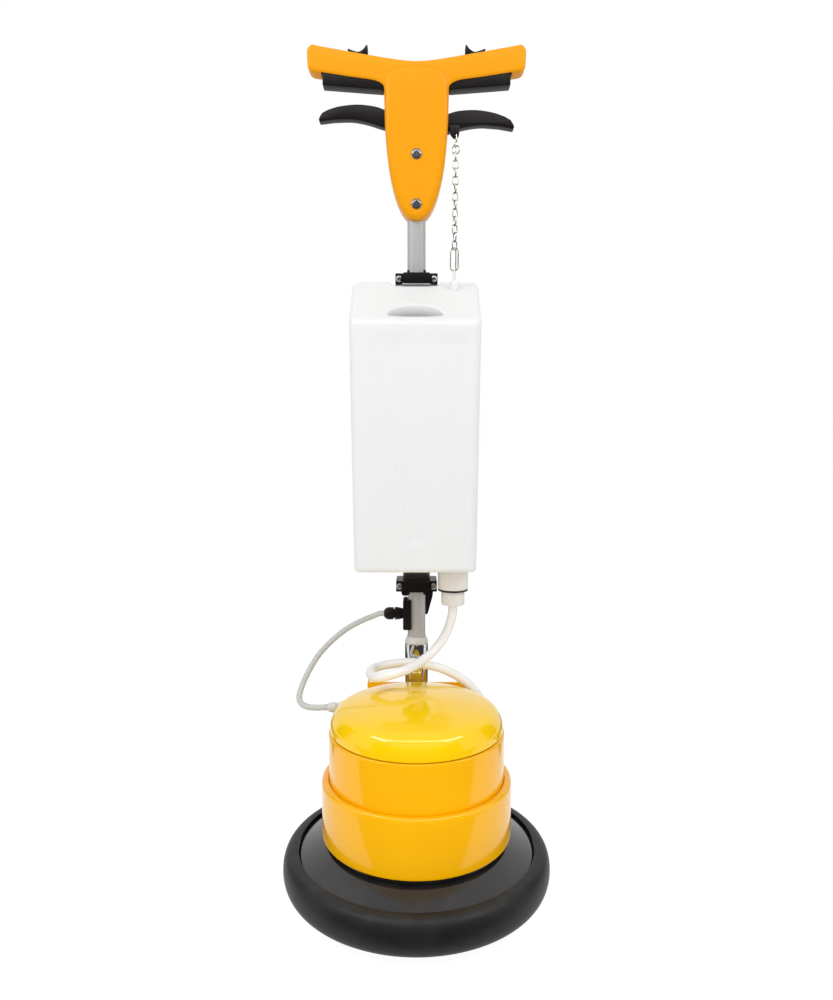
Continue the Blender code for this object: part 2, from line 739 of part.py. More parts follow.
def tank_mesh(wall):
    made = bmesh.new()
    points = [made.verts.new(corner) for corner in tank_corners(wall)]
    for loop in ((0, 1, 2, 3), (7, 6, 5, 4), (0, 4, 5, 1), (1, 5, 6, 2), (2, 6, 7, 3), (3, 7, 4, 0)):
        made.faces.new([points[i] for i in loop])
    bmesh.ops.bevel(
        made, geom=made.edges[:], offset=TANK_ROUND - wall, segments=3, profile=0.5, affect="EDGES",
        material=-1,
    )
    return made


def notch_mesh(grow):
    """The notch in the tank's rear top edge, for the upper clamp."""
    low = TANK_REAR_TOP - NOTCH_DEEP - grow
    near = TANK_REAR - NOTCH_LONG - grow
    return box_mesh((-NOTCH_HALF - grow, near, low), (NOTCH_HALF + grow, TANK_REAR + 0.02, low + 0.05))


def tank_slant():
    """The direction up the slanted top, and its normal."""
    up = Vector((0, TANK_REAR - TANK_FRONT, TANK_REAR_TOP - TANK_FRONT_TOP)).normalized()
    return up, Vector((0, -up.z, up.y))


def make_tank():
    """Hollow tank with a slanted top, its filling mouth, the outlet neck and the valve rod's guide."""
    tank = adopt("water_tank", tank_mesh(0), tank_plastic())
    take(tank, notch_mesh(0))
    neck = turned_mesh(
        rod_profile(NECK_R, NECK_LOW, TANK_LOW + 0.010), ROUND, Matrix.Translation((NECK_X, NECK_Y, 0))
    )
    add(tank, neck)
    guide = rod_profile(GUIDE_R, TANK_REAR_TOP - 0.040, GUIDE_TOP)
    add(tank, turned_mesh(guide, SMALL, Matrix.Translation((NECK_X, NECK_Y, 0))))
    inside = cutter(tank_mesh(TANK_WALL))
    keep = inside.modifiers.new("notch", "BOOLEAN")
    keep.operation = "DIFFERENCE"
    keep.object = cutter(notch_mesh(TANK_WALL))
    hollow = tank.modifiers.new("inside", "BOOLEAN")
    hollow.operation = "DIFFERENCE"
    hollow.object = inside
    up, out = tank_slant()
    mouth = Vector((TANK_X, TANK_FRONT, TANK_FRONT_TOP)) + up * MOUTH_UP
    take(tank, turned_mesh(rod_profile(MOUTH_R, -0.012, 0.02), ROUND, along(out, mouth)))
    bore = rod_profile(NECK_BORE, NECK_LOW + 0.006, TANK_LOW + 0.02)
    take(tank, turned_mesh(bore, 16, Matrix.Translation((NECK_X, NECK_Y, 0))))
    seat = rod_profile(HOSE_R - 0.001, NECK_LOW - 0.02, NECK_LOW + 0.01)
    take(tank, turned_mesh(seat, 16, Matrix.Translation((NECK_X, NECK_Y, 0))))
    rod_hole = rod_profile(ROD_R + RUN, TANK_REAR_TOP - 0.060, GUIDE_TOP + 0.01)
    take(tank, turned_mesh(rod_hole, SMALL, Matrix.Translation((NECK_X, NECK_Y, 0))))


def make_outlet():
    """Seal and nut under the neck, and the rod whose plug closes the outlet."""
    place = (NECK_X, NECK_Y, 0)
    seal_top = NECK_LOW - GAP
    seal_low = seal_top - SEAL_THICK
    bore = HOSE_R - 0.001
    turned("neck_seal", ring_profile(bore, NECK_R - 0.0005, seal_low, seal_top), rubber(), 16, place=place)
    nut_top = seal_low - GAP
    nut_low = nut_top - NUT_HEIGHT
    nut = turned(
        "outlet_nut", ring_profile(bore, NUT_R, nut_low, nut_top), tank_plastic(), 24, place=place
    )
    for number in range(8):
        groove = turned_mesh(rod_profile(0.0030, nut_low - 0.01, nut_top - 0.005), 8)
        groove.transform(Matrix.Translation((NUT_R + 0.0012, 0, 0)))
        groove.transform(Matrix.Rotation(2 * math.pi * number / 8, 4, "Z"))
        groove.transform(Matrix.Translation(place))
        take(nut, groove)
    plug = [
        (0, NECK_LOW + 0.0065), (NECK_BORE - 0.0040, NECK_LOW + 0.0065),
        (NECK_BORE - 0.0040, NECK_LOW + 0.018), (ROD_R, NECK_LOW + 0.024), (ROD_R, GUIDE_TOP + 0.0050),
        (0, GUIDE_TOP + 0.0050),
    ]
    turned("valve_rod", plug, tank_plastic(), SMALL, place=place)


def clamp_mesh_parts(level, tabs):
    """The clamp's block, its tabs, and what is cut from it."""
    low = level - CLAMP_HEIGHT / 2
    high = level + CLAMP_HEIGHT / 2
    block = box_mesh((-EAR_HALF, CLAMP_FRONT, low), (EAR_HALF, 0.1920, high))
    corners = []
    for side in (-1, 1):
        inner = side * CLAMP_HALF
        outer = side * (EAR_HALF + 0.01)
        corners.append(box_mesh(
            (min(inner, outer), CLAMP_FRONT - 0.01, low - 0.01), (max(inner, outer), EAR_FRONT, high + 0.01)
        ))
    tab_low = low - 0.0045 if tabs < 0 else high - 0.001
    tab_high = low + 0.001 if tabs < 0 else high + 0.0045
    ears = [
        box_mesh((side * 0.0140 - 0.0022, CLAMP_FRONT + 0.003, tab_low),
                 (side * 0.0140 + 0.0022, strap_front() - GAP, tab_high))
        for side in (-1, 1)
    ]
    return block, corners, ears


def strap_front():
    return POLE_Y - POLE_R - 0.0015 - STRAP_THICK


def make_clamps():
    """Two clamps round the pole, each with its screws and the steel strap that holds the tank."""
    for name, level, tabs in (("lower", CLAMP_Z[0], -1), ("upper", CLAMP_Z[1], 1)):
        block, corners, ears = clamp_mesh_parts(level, tabs)
        clamp = adopt(f"{name}_clamp", block, black_plastic())
        for corner in corners:
            take(clamp, corner)
        for ear in ears:
            add(clamp, ear)
        column = rod_profile(POLE_R + GAP, level - 0.05, level + 0.05)
        take(clamp, turned_mesh(column, ROUND, Matrix.Translation((0, POLE_Y, 0))))
        back = strap_front() + STRAP_THICK
        take(clamp, box_mesh(
            (-STRAP_HALF - GAP, strap_front() - GAP, level - 0.05), (STRAP_HALF + GAP, back + GAP, level + 0.05)
        ))
        for number, side in enumerate((-1, 1)):
            place = (side * SCREW_X, EAR_FRONT, level)
            hole = rod_profile(0.0028, -0.01, 0.0330)
            take(clamp, turned_mesh(hole, SMALL, along((0, 1, 0), place)))
            head = [
                (0, -0.0032), (0.0045, -0.0032), (0.0056, -0.0020), (0.0056, -GAP), (0.0025, -GAP),
                (0.0025, 0.0320), (0, 0.0320),
            ]
            word = "left" if side < 0 else "right"
            turned(f"{name}_clamp_screw_{word}", head, steel(), SMALL, axis=(0, 1, 0), place=place)
    make_straps()


def make_straps():
    """Steel straps from the clamps to the tank: a shelf under it and a tongue in its notch."""
    front = strap_front()
    low = CLAMP_Z[0] - CLAMP_HEIGHT / 2 + 0.001
    shelf = TANK_LOW - GAP
    lower = adopt(
        "lower_strap", box_mesh((-STRAP_HALF, front, low), (STRAP_HALF, front + STRAP_THICK, shelf)), steel()
    )
    add(lower, box_mesh((-STRAP_HALF, 0.1050, shelf - STRAP_THICK), (STRAP_HALF, front + 0.001, shelf)))
    floor = TANK_REAR_TOP - NOTCH_DEEP + GAP
    high = CLAMP_Z[1] + CLAMP_HEIGHT / 2
    upper = adopt(
        "upper_strap", box_mesh((-STRAP_HALF, front, floor), (STRAP_HALF, front + STRAP_THICK, high)), steel()
    )
    near = TANK_REAR - NOTCH_LONG + 0.002
    add(upper, box_mesh((-STRAP_HALF, near, floor), (STRAP_HALF, front + 0.001, floor + STRAP_THICK)))


def gland_profile(length, big, cable):
    """A cable gland's outline from its seat outwards: flange, neck, grooved nut and rounded nose."""
    nut = length * 0.42
    return [
        (cable, 0), (big * 0.92, 0), (big * 0.92, length * 0.20), (big * 0.72, length * 0.24),
        (big * 0.72, nut - 0.001), (big, nut), (big, length * 0.80), (big * 0.62, length),
        (cable, length),
    ]


def make_glands():
    """Wiring box on the pole, its gland, the motor's gland and the hose's fitting."""
    low = (-0.0243, POLE_Y - 0.0190, BOX_LOW)
    high = (-0.0095, POLE_Y + 0.0190, BOX_TOP)
    box = adopt("wiring_box", box_mesh(low, high, 0.0015), black_plastic())
    column = rod_profile(POLE_R + GAP, BOX_LOW - 0.01, BOX_TOP + 0.01)
    take(box, turned_mesh(column, ROUND, Matrix.Translation((0, POLE_Y, 0))))
    seat = (-0.0243 - GAP, POLE_Y, POLE_GLAND_Z)
    profile = gland_profile(0.0345, 0.0113, 0.0020)
    turned("pole_gland", profile, black_plastic(), 12, axis=(-1, 0, 0), place=seat)
    seat = (MOTOR_GLAND_X, MOTOR_GLAND_Y, MOTOR_GLAND_Z)
    turned("motor_gland", gland_profile(0.0215, 0.0085, 0.0020), grey_plastic(), 12, (-1, 0, 0), seat)
    deck_z = DECK_CROWN_Z + GAP
    fitting = [
        (0.0030, deck_z), (0.0120, deck_z), (0.0120, deck_z + 0.008), (0.0080, deck_z + 0.010),
        (0.0080, deck_z + 0.0244), (0.0030, deck_z + 0.0244),
    ]
    turned("hose_fitting", fitting, tank_plastic(), 12, place=(FITTING_X, FITTING_Y, 0))


def make_cable_hook():
    """Hook behind the pole for the wound-up lead."""
    top = CLAMP_Z[0] - CLAMP_HEIGHT / 2 - GAP
    outline = [
        (-0.026, top), (-0.0285, 0.442), (-0.026, 0.4335), (-0.007, 0.4335), (0.010, 0.425), (0.012, 0.399),
        (0.0205, 0.399), (0.0305, 0.436), (0.030, top),
    ]
    near = POLE_Y + POLE_R + GAP
    adopt("cable_hook", plate_mesh(outline, near, near + 0.007), black_plastic())


def from_top(*points):
    """Outline points whose heights are given from the handle's top at its middle."""
    return [(x, HANDLE_TOP + z) for x, z in points]


def grip_top(x):
    """Height of the handle's top edge: a flat middle that turns into two straight rising grips."""
    return HANDLE_TOP + HANDLE_SLOPE * (math.hypot(x, HANDLE_BEND) - HANDLE_BEND)


def hub_half(z):
    """Half width of the hub under its shoulders."""
    t = min(1.0, (HUB_SHOULDER - z) / (HUB_SHOULDER - HUB_TIP))
    return HUB_HALF * max(0.0, 1 - t**2.2) ** 0.45


def handle_outline():
    """The whole T: grips with round ends, fillets, and the hub down to its tip."""
    right = [(x, grip_top(x)) for x in (0.0, 0.02, 0.045, 0.08, 0.125)]
    under = GRIP_UNDER + GRIP_UNDER_SLOPE * (GRIP_HALF - GRIP_UNDER_X)
    over = grip_top(GRIP_HALF)
    right += arc((GRIP_HALF - 0.012, over - 0.013), 0.012, 85, 0, 4)
    right += arc((GRIP_HALF - 0.014, under + 0.013), 0.013, -5, -82, 4)
    right += [(GRIP_UNDER_X, GRIP_UNDER)]
    right += from_top((0.0690, -0.0370), (0.0600, -0.0470))
    right += [(HUB_HALF + 0.0005, HUB_SHOULDER)]
    heights = [HUB_SHOULDER - (HUB_SHOULDER - HUB_TIP) * s for s in (0.25, 0.45, 0.62, 0.77, 0.88, 0.96)]
    right += [(hub_half(z), z) for z in heights]
    left = [(-x, z) for x, z in reversed(right) if x > 0]
    return [*right, (0.0, HUB_TIP), *left]


def hub_outline():
    """The hub's own outline, for its deeper back."""
    heights = [HUB_SHOULDER - (HUB_SHOULDER - HUB_TIP) * s for s in (0.0, 0.3, 0.55, 0.75, 0.9)]
    right = [(hub_half(z) - 0.004, z) for z in heights]
    left = [(-x, z) for x, z in reversed(right)]
    return [*from_top((0.040, -0.0180)), *right, *left, *from_top((-0.040, -0.0180))]


def hollowed(outline, start, end, wall, floor):
    """A plate that is open at its end face: a rim of a wall's width round a pocket with a floor."""
    made = plate_mesh(outline, start, end)
    made.faces.ensure_lookup_table()
    made.normal_update()
    middle = [face for face in made.faces if abs(face.calc_center_median().y - end) < 1e-6]
    bmesh.ops.inset_region(made, faces=middle, thickness=wall, use_even_offset=True)
    sunk = bmesh.ops.extrude_face_region(made, geom=middle)
    bmesh.ops.delete(made, geom=middle, context="FACES_ONLY")
    moved = [item for item in sunk["geom"] if isinstance(item, bmesh.types.BMVert)]
    depth = start - end + math.copysign(floor, end - start)
    bmesh.ops.translate(made, vec=(0, depth, 0), verts=moved)
    return made


def lever_pivot(side):
    """Distance from the middle and height of a lever's pin; the water lever's is the lower one."""
    return (LEVER_PIVOT[0], LEVER_PIVOT[1] - (WATER_LEVER_DROP if side > 0 else 0.0))


def switch_slot(low, high):
    """Slots for the switch bars, the levers and the thumb catches between two depths."""
    slots = []
    for side in (-1, 1):
        spans = (
            (SWITCH_IN - 0.003, SWITCH_OUT + 0.002, -0.066, -0.006, SWITCH_HALF + RUN),
            (0.036, 0.070, -0.128, -0.066, LEVER_HALF + RUN),
            (0.0870, 0.1085, -0.006, 0.044, 0.0040 + RUN),
        )
        for inner, outer, bottom, top, half in spans:
            near = max(low, HANDLE_SPLIT - half)
            far = min(high, HANDLE_SPLIT + half)
            left = min(side * inner, side * outer)
            right = max(side * inner, side * outer)
            low_end = (left, near, HANDLE_TOP + bottom)
            slots.append(box_mesh(low_end, (right, far, HANDLE_TOP + top)))
    return slots


def make_handle():
    """Front and rear halves of the handle, hollow, with moulded pins for what turns inside."""
    wall = HANDLE_WALL
    front = adopt(
        "handle_front", hollowed(handle_outline(), HANDLE_FRONT, HANDLE_SPLIT - GAP / 2, wall, wall),
        orange_plastic(),
    )
    for slot in switch_slot(HANDLE_FRONT - 0.01, HANDLE_SPLIT + 0.01):
        take(front, slot)
    column = rod_profile(POLE_R + GAP, HUB_TIP - 0.02, POLE_TOP + GAP)
    take(front, turned_mesh(column, ROUND, Matrix.Translation((0, POLE_Y, 0))))
    for height in HUB_SCREWS:
        hole = rod_profile(0.0033, -0.01, 0.02)
        take(front, turned_mesh(hole, SMALL, along((0, 1, 0), (0, HANDLE_FRONT, height))))
    split = HANDLE_SPLIT + GAP / 2
    rear = adopt(
        "handle_rear", hollowed(handle_outline(), HANDLE_REAR, split, wall, wall), orange_plastic()
    )
    add(rear, plate_mesh(hub_outline(), HANDLE_SPLIT + LEVER_HALF + RUN, HUB_REAR))
    for slot in switch_slot(HANDLE_SPLIT - 0.01, HANDLE_REAR + 0.001):
        take(rear, slot)
    take(rear, turned_mesh(column, ROUND, Matrix.Translation((0, POLE_Y, 0))))
    for side in (-1, 1):
        for place in (lever_pivot(side), SWITCH_PIVOT):
            start = HANDLE_FRONT + wall + GAP
            pin = rod_profile(LEVER_PIN_R, 0, HANDLE_REAR - 0.001 - start)
            add(rear, turned_mesh(pin, SMALL, along((0, 1, 0), (side * place[0], start, place[1]))))
    for number, height in enumerate(HUB_SCREWS):
        head = [
            (0, -0.0035), (0.0060, -0.0035), (0.0090, -0.0015), (0.0090, -GAP), (0.0030, -GAP),
            (0.0030, 0.0170), (0, 0.0170),
        ]
        name = f"hub_screw_{number + 1}"
        turned(name, head, steel(), SMALL, axis=(0, 1, 0), place=(0, HANDLE_FRONT, height))


def make_switch_bars():
    """Bars under the grips that close the motor's switches."""
    for name, side in (("switch_bar_left", -1), ("switch_bar_right", 1)):
        outline = [(SWITCH_IN, SWITCH_LOW_IN), (SWITCH_OUT, SWITCH_LOW_OUT)]
        outline += from_top(
            (SWITCH_OUT, -0.0140), (0.1500, -0.0130), (0.0800, -0.0120), (0.0640, -0.0140),
            (SWITCH_IN + 0.001, -0.0310),
        )
        outline = [(side * x, z) for x, z in outline]
        made = plate_mesh(outline, HANDLE_SPLIT - SWITCH_HALF, HANDLE_SPLIT + SWITCH_HALF)
        pivot = (side * SWITCH_PIVOT[0], HANDLE_SPLIT, SWITCH_PIVOT[1])
        bar = adopt(name, made, black_plastic(), pivot)
        hole = rod_profile(LEVER_PIN_R + GAP, -0.03, 0.03)
        take(bar, turned_mesh(hole, SMALL, along((0, 1, 0), pivot)))


def lever_outline(side, pivot, drop):
    """A drooping lever: an upper and a lower arc from the pivot's boss to a cut tip."""
    upper = [(0.052, -0.0785), (0.070, -0.0725), (0.100, -0.0692), (0.130, -0.0720), (0.150, -0.0775)]
    tip = [(0.1605, -0.0825), (0.1660, -0.0920), (0.1645, -0.0970)]
    lower = [(0.140, -0.0942), (0.110, -0.0938), (0.085, -0.0980), (0.062, -0.1050), (0.050, -0.1085)]
    boss = arc((0, 0), 0.0085, 250, 110, 5)
    points = []
    for x, z in from_top(*upper, *tip, *lower):
        reach = x - 0.040
        points.append((x, z - drop * (1 + reach * 8)))
    points += [(pivot[0] + a, pivot[1] + b) for a, b in boss]
    return [(side * x, z) for x, z in points]


def make_levers():
    """Left lever for the pole's tilt lock, right lever for the water."""
    for name, side, drop in (
        ("tilt_lever", -1, 0.0), ("water_lever", 1, WATER_LEVER_DROP),
    ):
        pivot = lever_pivot(side)
        outline = lever_outline(side, pivot, drop)
        made = plate_mesh(outline, HANDLE_SPLIT - LEVER_HALF, HANDLE_SPLIT + LEVER_HALF)
        centre = (side * pivot[0], HANDLE_SPLIT, pivot[1])
        lever = adopt(name, made, black_plastic(), centre)
        if side > 0:
            high = LUG_LOW + 0.0220
            lug = [
                (LUG_X - 0.0090, high), (LUG_X + 0.0080, high), (LUG_X + 0.0050, LUG_LOW + 0.0030),
                (LUG_X + 0.0020, LUG_LOW), (LUG_X - 0.0030, LUG_LOW), (LUG_X - 0.0070, LUG_LOW + 0.0070),
            ]
            add(lever, plate_mesh(lug, LUG_Y - 0.0025, LUG_Y + 0.0040))
        hole = rod_profile(LEVER_PIN_R + GAP, -0.03, 0.03)
        take(lever, turned_mesh(hole, SMALL, along((0, 1, 0), centre)))


def make_thumb_catches():
    """Horned catches on the grips that free the switch bars."""
    for name, side in (("thumb_catch_left", -1), ("thumb_catch_right", 1)):
        base = GAP + 0.0003
        outline = [(x, grip_top(x) + base) for x in (0.0840, 0.1000, 0.1160)]
        outline += [(0.1163, grip_top(0.116) + 0.0030), (0.1050, grip_top(0.105) + 0.0036)]
        outline += from_top((0.0950, 0.0162), (0.0885, 0.0220), (0.0850, 0.0274), (0.0828, 0.0268))
        outline = [(side * x, z) for x, z in outline]
        made = plate_mesh(outline, HANDLE_SPLIT - THUMB_HALF, HANDLE_SPLIT + THUMB_HALF)
        catch = adopt(name, made, black_plastic())
        left = min(side * 0.0885, side * 0.1000)
        right = max(side * 0.0885, side * 0.1000)
        stem_top = (right, HANDLE_SPLIT + 0.004, HANDLE_TOP + 0.0140)
        add(catch, box_mesh((left, HANDLE_SPLIT - 0.004, HANDLE_TOP), stem_top))


def make_chain():
    """The chain from the lever's lug to the valve rod, as the outer shape of its links and clip."""
    low = Vector((NECK_X, NECK_Y, GUIDE_TOP + 0.0060))
    high = Vector((LUG_X, LUG_Y, LUG_LOW - 0.0008))
    reach = (high - low).length
    profile = [
        (0, 0), (CLIP_R, 0), (CLIP_R, CLIP_LONG), (CHAIN_R, CLIP_LONG + 0.002), (CHAIN_R, reach), (0, reach),
    ]
    turned("chain", profile, steel(), 6, axis=(high - low).normalized(), place=low)


CABLE_ROUTE = (
    (-0.0600, 0.1680, 0.4050), (-0.0680, 0.1680, 0.4045), (-0.0780, 0.1665, 0.4005),
    (-0.0987, 0.1620, 0.3930), (-0.1254, 0.1540, 0.3800), (-0.1508, 0.1430, 0.3615),
    (-0.1704, 0.1320, 0.3425), (-0.1836, 0.1210, 0.3240), (-0.1943, 0.1090, 0.3045),
    (-0.2008, 0.0970, 0.2875), (-0.2020, 0.0860, 0.2765), (-0.1965, 0.0745, 0.2700),
    (-0.1845, 0.0660, 0.2675), (-0.1690, 0.0615, 0.2678), (-0.1580, 0.0602, 0.2688),
    (-0.1508, 0.0600, 0.2690),
)
HOSE_ROUTE = (
    (0.0635, 0.1180, 0.4320), (0.0630, 0.1180, 0.4180), (0.0600, 0.1180, 0.4040),
    (0.0550, 0.1160, 0.3890), (0.0464, 0.1110, 0.3737), (0.0345, 0.1010, 0.3600),
    (0.0220, 0.0880, 0.3510), (0.0095, 0.0730, 0.3455), (-0.0025, 0.0560, 0.3420),
    (-0.0165, 0.0370, 0.3410), (-0.0300, 0.0250, 0.3400), (-0.0480, 0.0230, 0.3351),
    (-0.0640, 0.0360, 0.3280), (-0.0760, 0.0600, 0.3247), (-0.0784, 0.0870, 0.3238),
    (-0.0700, 0.1100, 0.3225), (-0.0538, 0.1245, 0.3224), (-0.0346, 0.1320, 0.3232),
    (-0.0098, 0.1350, 0.3239), (0.0169, 0.1340, 0.3199), (0.0453, 0.1300, 0.3140),
    (0.0746, 0.1260, 0.3005), (0.0976, 0.1225, 0.2830), (0.1130, 0.1200, 0.2620),
    (0.1190, 0.1190, 0.2380), (0.1197, 0.1190, 0.2050), (0.1195, 0.1190, 0.1650),
    (0.1195, 0.1190, 0.1250), (0.1195, 0.1190, 0.0930),
)


def smooth_line(route, step):
    """Points about a step apart on a smooth curve through a route's own points."""
    points = [Vector(p) for p in route]
    padded = [2 * points[0] - points[1], *points, 2 * points[-1] - points[-2]]
    line = []
    for a, b, c, d in zip(padded, padded[1:], padded[2:], padded[3:]):
        pieces = max(1, round((c - b).length / step))
        for i in range(pieces):
            t = i / pieces
            line.append(0.5 * (
                2 * b + (c - a) * t + (2 * a - 5 * b + 4 * c - d) * t * t
                + (3 * b - a - 3 * c + d) * t**3
            ))
    return [*line, points[-1]]


def make_cord(name, route, radius, material):
    """A tube of one radius along a route."""
    line = smooth_line(route, 5 * radius)
    shape = bpy.data.curves.new(name, "CURVE")
    shape.dimensions = "3D"
    shape.bevel_depth = radius
    shape.bevel_resolution = 2
    shape.use_fill_caps = True
    shape.render_resolution_u = 0
    spline = shape.splines.new("POLY")
    spline.points.add(len(line) - 1)
    for point, place in zip(spline.points, line):
        point.co = (*place, 1)
    shape.materials.append(material)
    thing = bpy.data.objects.new(name, shape)
    bpy.context.scene.collection.objects.link(thing)


def make_cords():
    make_cord("link_cable", CABLE_ROUTE, CABLE_R, grey_plastic())
    make_cord("solution_hose", HOSE_ROUTE, HOSE_R, tank_plastic())


def main():
    clear_scene()
    make_deck()
    make_bumper()
    make_gearbox_housing()
    make_output_carrier()
    make_planet_gears()
    make_rotor_shaft()
    make_pad_driver()
    make_floor_pad()
    make_motor()
    make_drum_covers()
    make_rear_bracket()
    make_tilt_pivot()
    make_wheels()
    make_stem()
    make_pole()
    make_tank()
    make_outlet()
    make_clamps()
    make_glands()
    make_cable_hook()
    make_handle()
    make_switch_bars()
    make_levers()
    make_thumb_catches()
    make_chain()
    make_cords()


main()
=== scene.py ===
"""Looks of a single-disc floor scrubber: its finishes, fine shells, cords and chain, and a studio.

Every size is in metres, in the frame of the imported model: +Z up, the origin on the floor under the
disc's axis, and +Y towards the pole and the wheels.
"""

import logging
import math
from dataclasses import dataclass
from enum import Enum
from typing import Sequence

import bmesh
import bpy
from mathutils import Matrix, Vector
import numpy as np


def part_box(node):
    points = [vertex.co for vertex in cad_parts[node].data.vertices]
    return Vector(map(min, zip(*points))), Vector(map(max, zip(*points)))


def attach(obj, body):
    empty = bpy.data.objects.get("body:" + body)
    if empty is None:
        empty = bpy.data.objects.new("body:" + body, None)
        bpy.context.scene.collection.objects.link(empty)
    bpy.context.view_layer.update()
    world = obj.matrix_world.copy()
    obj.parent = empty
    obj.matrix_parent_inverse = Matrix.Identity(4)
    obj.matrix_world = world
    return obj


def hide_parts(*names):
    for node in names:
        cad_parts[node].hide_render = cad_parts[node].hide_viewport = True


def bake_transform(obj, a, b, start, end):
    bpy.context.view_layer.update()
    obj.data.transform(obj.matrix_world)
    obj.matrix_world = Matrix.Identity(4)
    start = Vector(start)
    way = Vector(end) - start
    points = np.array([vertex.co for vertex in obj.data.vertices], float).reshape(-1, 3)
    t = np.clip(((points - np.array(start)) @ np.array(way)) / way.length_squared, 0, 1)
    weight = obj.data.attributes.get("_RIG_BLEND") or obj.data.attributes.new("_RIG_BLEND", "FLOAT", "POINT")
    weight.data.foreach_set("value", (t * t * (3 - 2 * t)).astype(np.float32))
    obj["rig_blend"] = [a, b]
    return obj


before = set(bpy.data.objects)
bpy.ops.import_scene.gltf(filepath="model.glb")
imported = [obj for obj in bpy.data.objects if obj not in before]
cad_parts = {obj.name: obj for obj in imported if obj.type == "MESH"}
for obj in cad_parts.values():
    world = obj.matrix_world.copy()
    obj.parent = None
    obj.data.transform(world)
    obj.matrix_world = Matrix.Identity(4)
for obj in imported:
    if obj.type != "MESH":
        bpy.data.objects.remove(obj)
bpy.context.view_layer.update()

LOG = logging.getLogger("scrubber")

Pair = tuple[float, float]
Triple = tuple[float, float, float]
Color = tuple[float, float, float]
Wire = tuple[Sequence[Vector], float, bool]  # its points, its radius and whether it is closed
Shape = bmesh.types.BMesh
Edge = bmesh.types.BMEdge
Vert = bmesh.types.BMVert
Tree = bpy.types.NodeTree
Socket = bpy.types.NodeSocket

AROUND = 128  # steps round the drum and the disc
FINE = 64  # steps round the pole and the wheels
SMALL = 32  # steps round screws and glands
NUT_STEPS = 96  # steps round grooved nuts
WELD = 1e-6  # vertices nearer than this are one
NODE_WELD = 1e-5  # the same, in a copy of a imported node
FLAT = math.radians(1)  # faces that turn less than this are one
CRISP = math.radians(32)  # edges sharper than this stay sharp
ROUND = math.radians(60)  # the same on the tank and the chain
LEVEL = 1e-5  # places that differ by less are level
LIGHT_DEPTH = (0.012, 0.011, 0.010)  # how far red, green and blue light go inside milky plastic


class Rides(Enum):
    """Bodies of the machine that pieces ride on."""

    BASE = "base"
    BRUSH = "brush"
    POLE = "pole"
    LEFT_WHEEL = "left_wheel"
    RIGHT_WHEEL = "right_wheel"
    LEFT_SWITCH = "left_switch"
    RIGHT_SWITCH = "right_switch"
    LEFT_CATCH = "left_catch"
    RIGHT_CATCH = "right_catch"
    TILT_RELEASE = "tilt_release"
    WATER_CONTROL = "water_control"
    WATER_PULL = "water_pull"


class Grain(Enum):
    """Ways a surface's fine texture runs."""

    EVEN = (1.0, 1.0, 1.0)
    UP = (1.0, 1.0, 0.02)
    ACROSS = (0.02, 1.0, 1.0)


class Merge(Enum):
    """Ways in which one shape changes another."""

    CUT = "DIFFERENCE"
    UNITE = "UNION"


class Side(Enum):
    """Sides of the machine, with the sign that X has there."""

    LEFT = -1
    RIGHT = 1

    @property
    def word(self) -> str:
        """The side's name, as pieces carry it."""
        return self.name.lower()

    def span(self, inner: float, outer: float) -> list[float]:
        """Two distances from the middle as places on this side, the lower one first."""
        return sorted((self.value * inner, self.value * outer))

    def outline(self, right: Sequence[Pair]) -> list[Pair]:
        """An outline drawn for the right side, put on this side."""
        return [(self.value * x, z) for x, z in right]


# ---------------------------------------------------------------- shader groups


def add_node(tree: Tree, kind: str, **settings: object) -> bpy.types.Node:
    """Adds a node.

    Args:
        tree: The tree that gets it.
        kind: Its type, without the ShaderNode prefix.
        settings: Its own properties.

    Returns:
        The new node.
    """
    made = tree.nodes.new("ShaderNode" + kind)
    for key, value in settings.items():
        setattr(made, key, value)
    return made


def new_group(name: str, inputs: dict[str, tuple[str, object]], outputs: dict[str, str]) -> Tree:
    """Makes an empty shader group with its sockets.

    Args:
        name: The group's name.
        inputs: Socket type suffix and default value for each input.
        outputs: Socket type suffix for each output.

    Returns:
        The group, with a Group Input and a Group Output node named Input and Output.
    """
    tree = bpy.data.node_groups.new(name, "ShaderNodeTree")
    for label, (kind, value) in inputs.items():
        socket = tree.interface.new_socket(label, in_out="INPUT", socket_type="NodeSocket" + kind)
        if value is not None:
            socket.default_value = value
    for label, kind in outputs.items():
        tree.interface.new_socket(label, in_out="OUTPUT", socket_type="NodeSocket" + kind)
    tree.nodes.new("NodeGroupInput").name = "Input"
    tree.nodes.new("NodeGroupOutput").name = "Output"
    return tree


def ramp(tree: Tree, value: Socket, low: Pair, high: Pair) -> Socket:
    """Maps a value from one span to another, clamped.

    Args:
        tree: The tree it is built in.
        value: The socket to map.
        low: Lower ends of the two spans.
        high: Upper ends of the two spans.

    Returns:
        The mapped value's socket.
    """
    made = add_node(tree, "MapRange")
    tree.links.new(value, made.inputs["Value"])
    for label, number in (
        ("From Min", low[0]), ("From Max", high[0]), ("To Min", low[1]), ("To Max", high[1]),
    ):
        made.inputs[label].default_value = number
    return made.outputs["Result"]


def worked(
    tree: Tree, operation: str, first: Socket, second: Socket | float, clamp: bool = False
) -> Socket:
    """Works out a value from two others.

    Args:
        tree: The tree it is built in.
        operation: The Math node's operation.
        first: The first value's socket.
        second: The second value's socket, or a number.
        clamp: Whether the result is kept between 0 and 1.

    Returns:
        The result's socket.
    """
    made = add_node(tree, "Math", operation=operation, use_clamp=clamp)
    tree.links.new(first, made.inputs[0])
    if isinstance(second, Socket):
        tree.links.new(second, made.inputs[1])
    else:
        made.inputs[1].default_value = second
    return made.outputs["Value"]


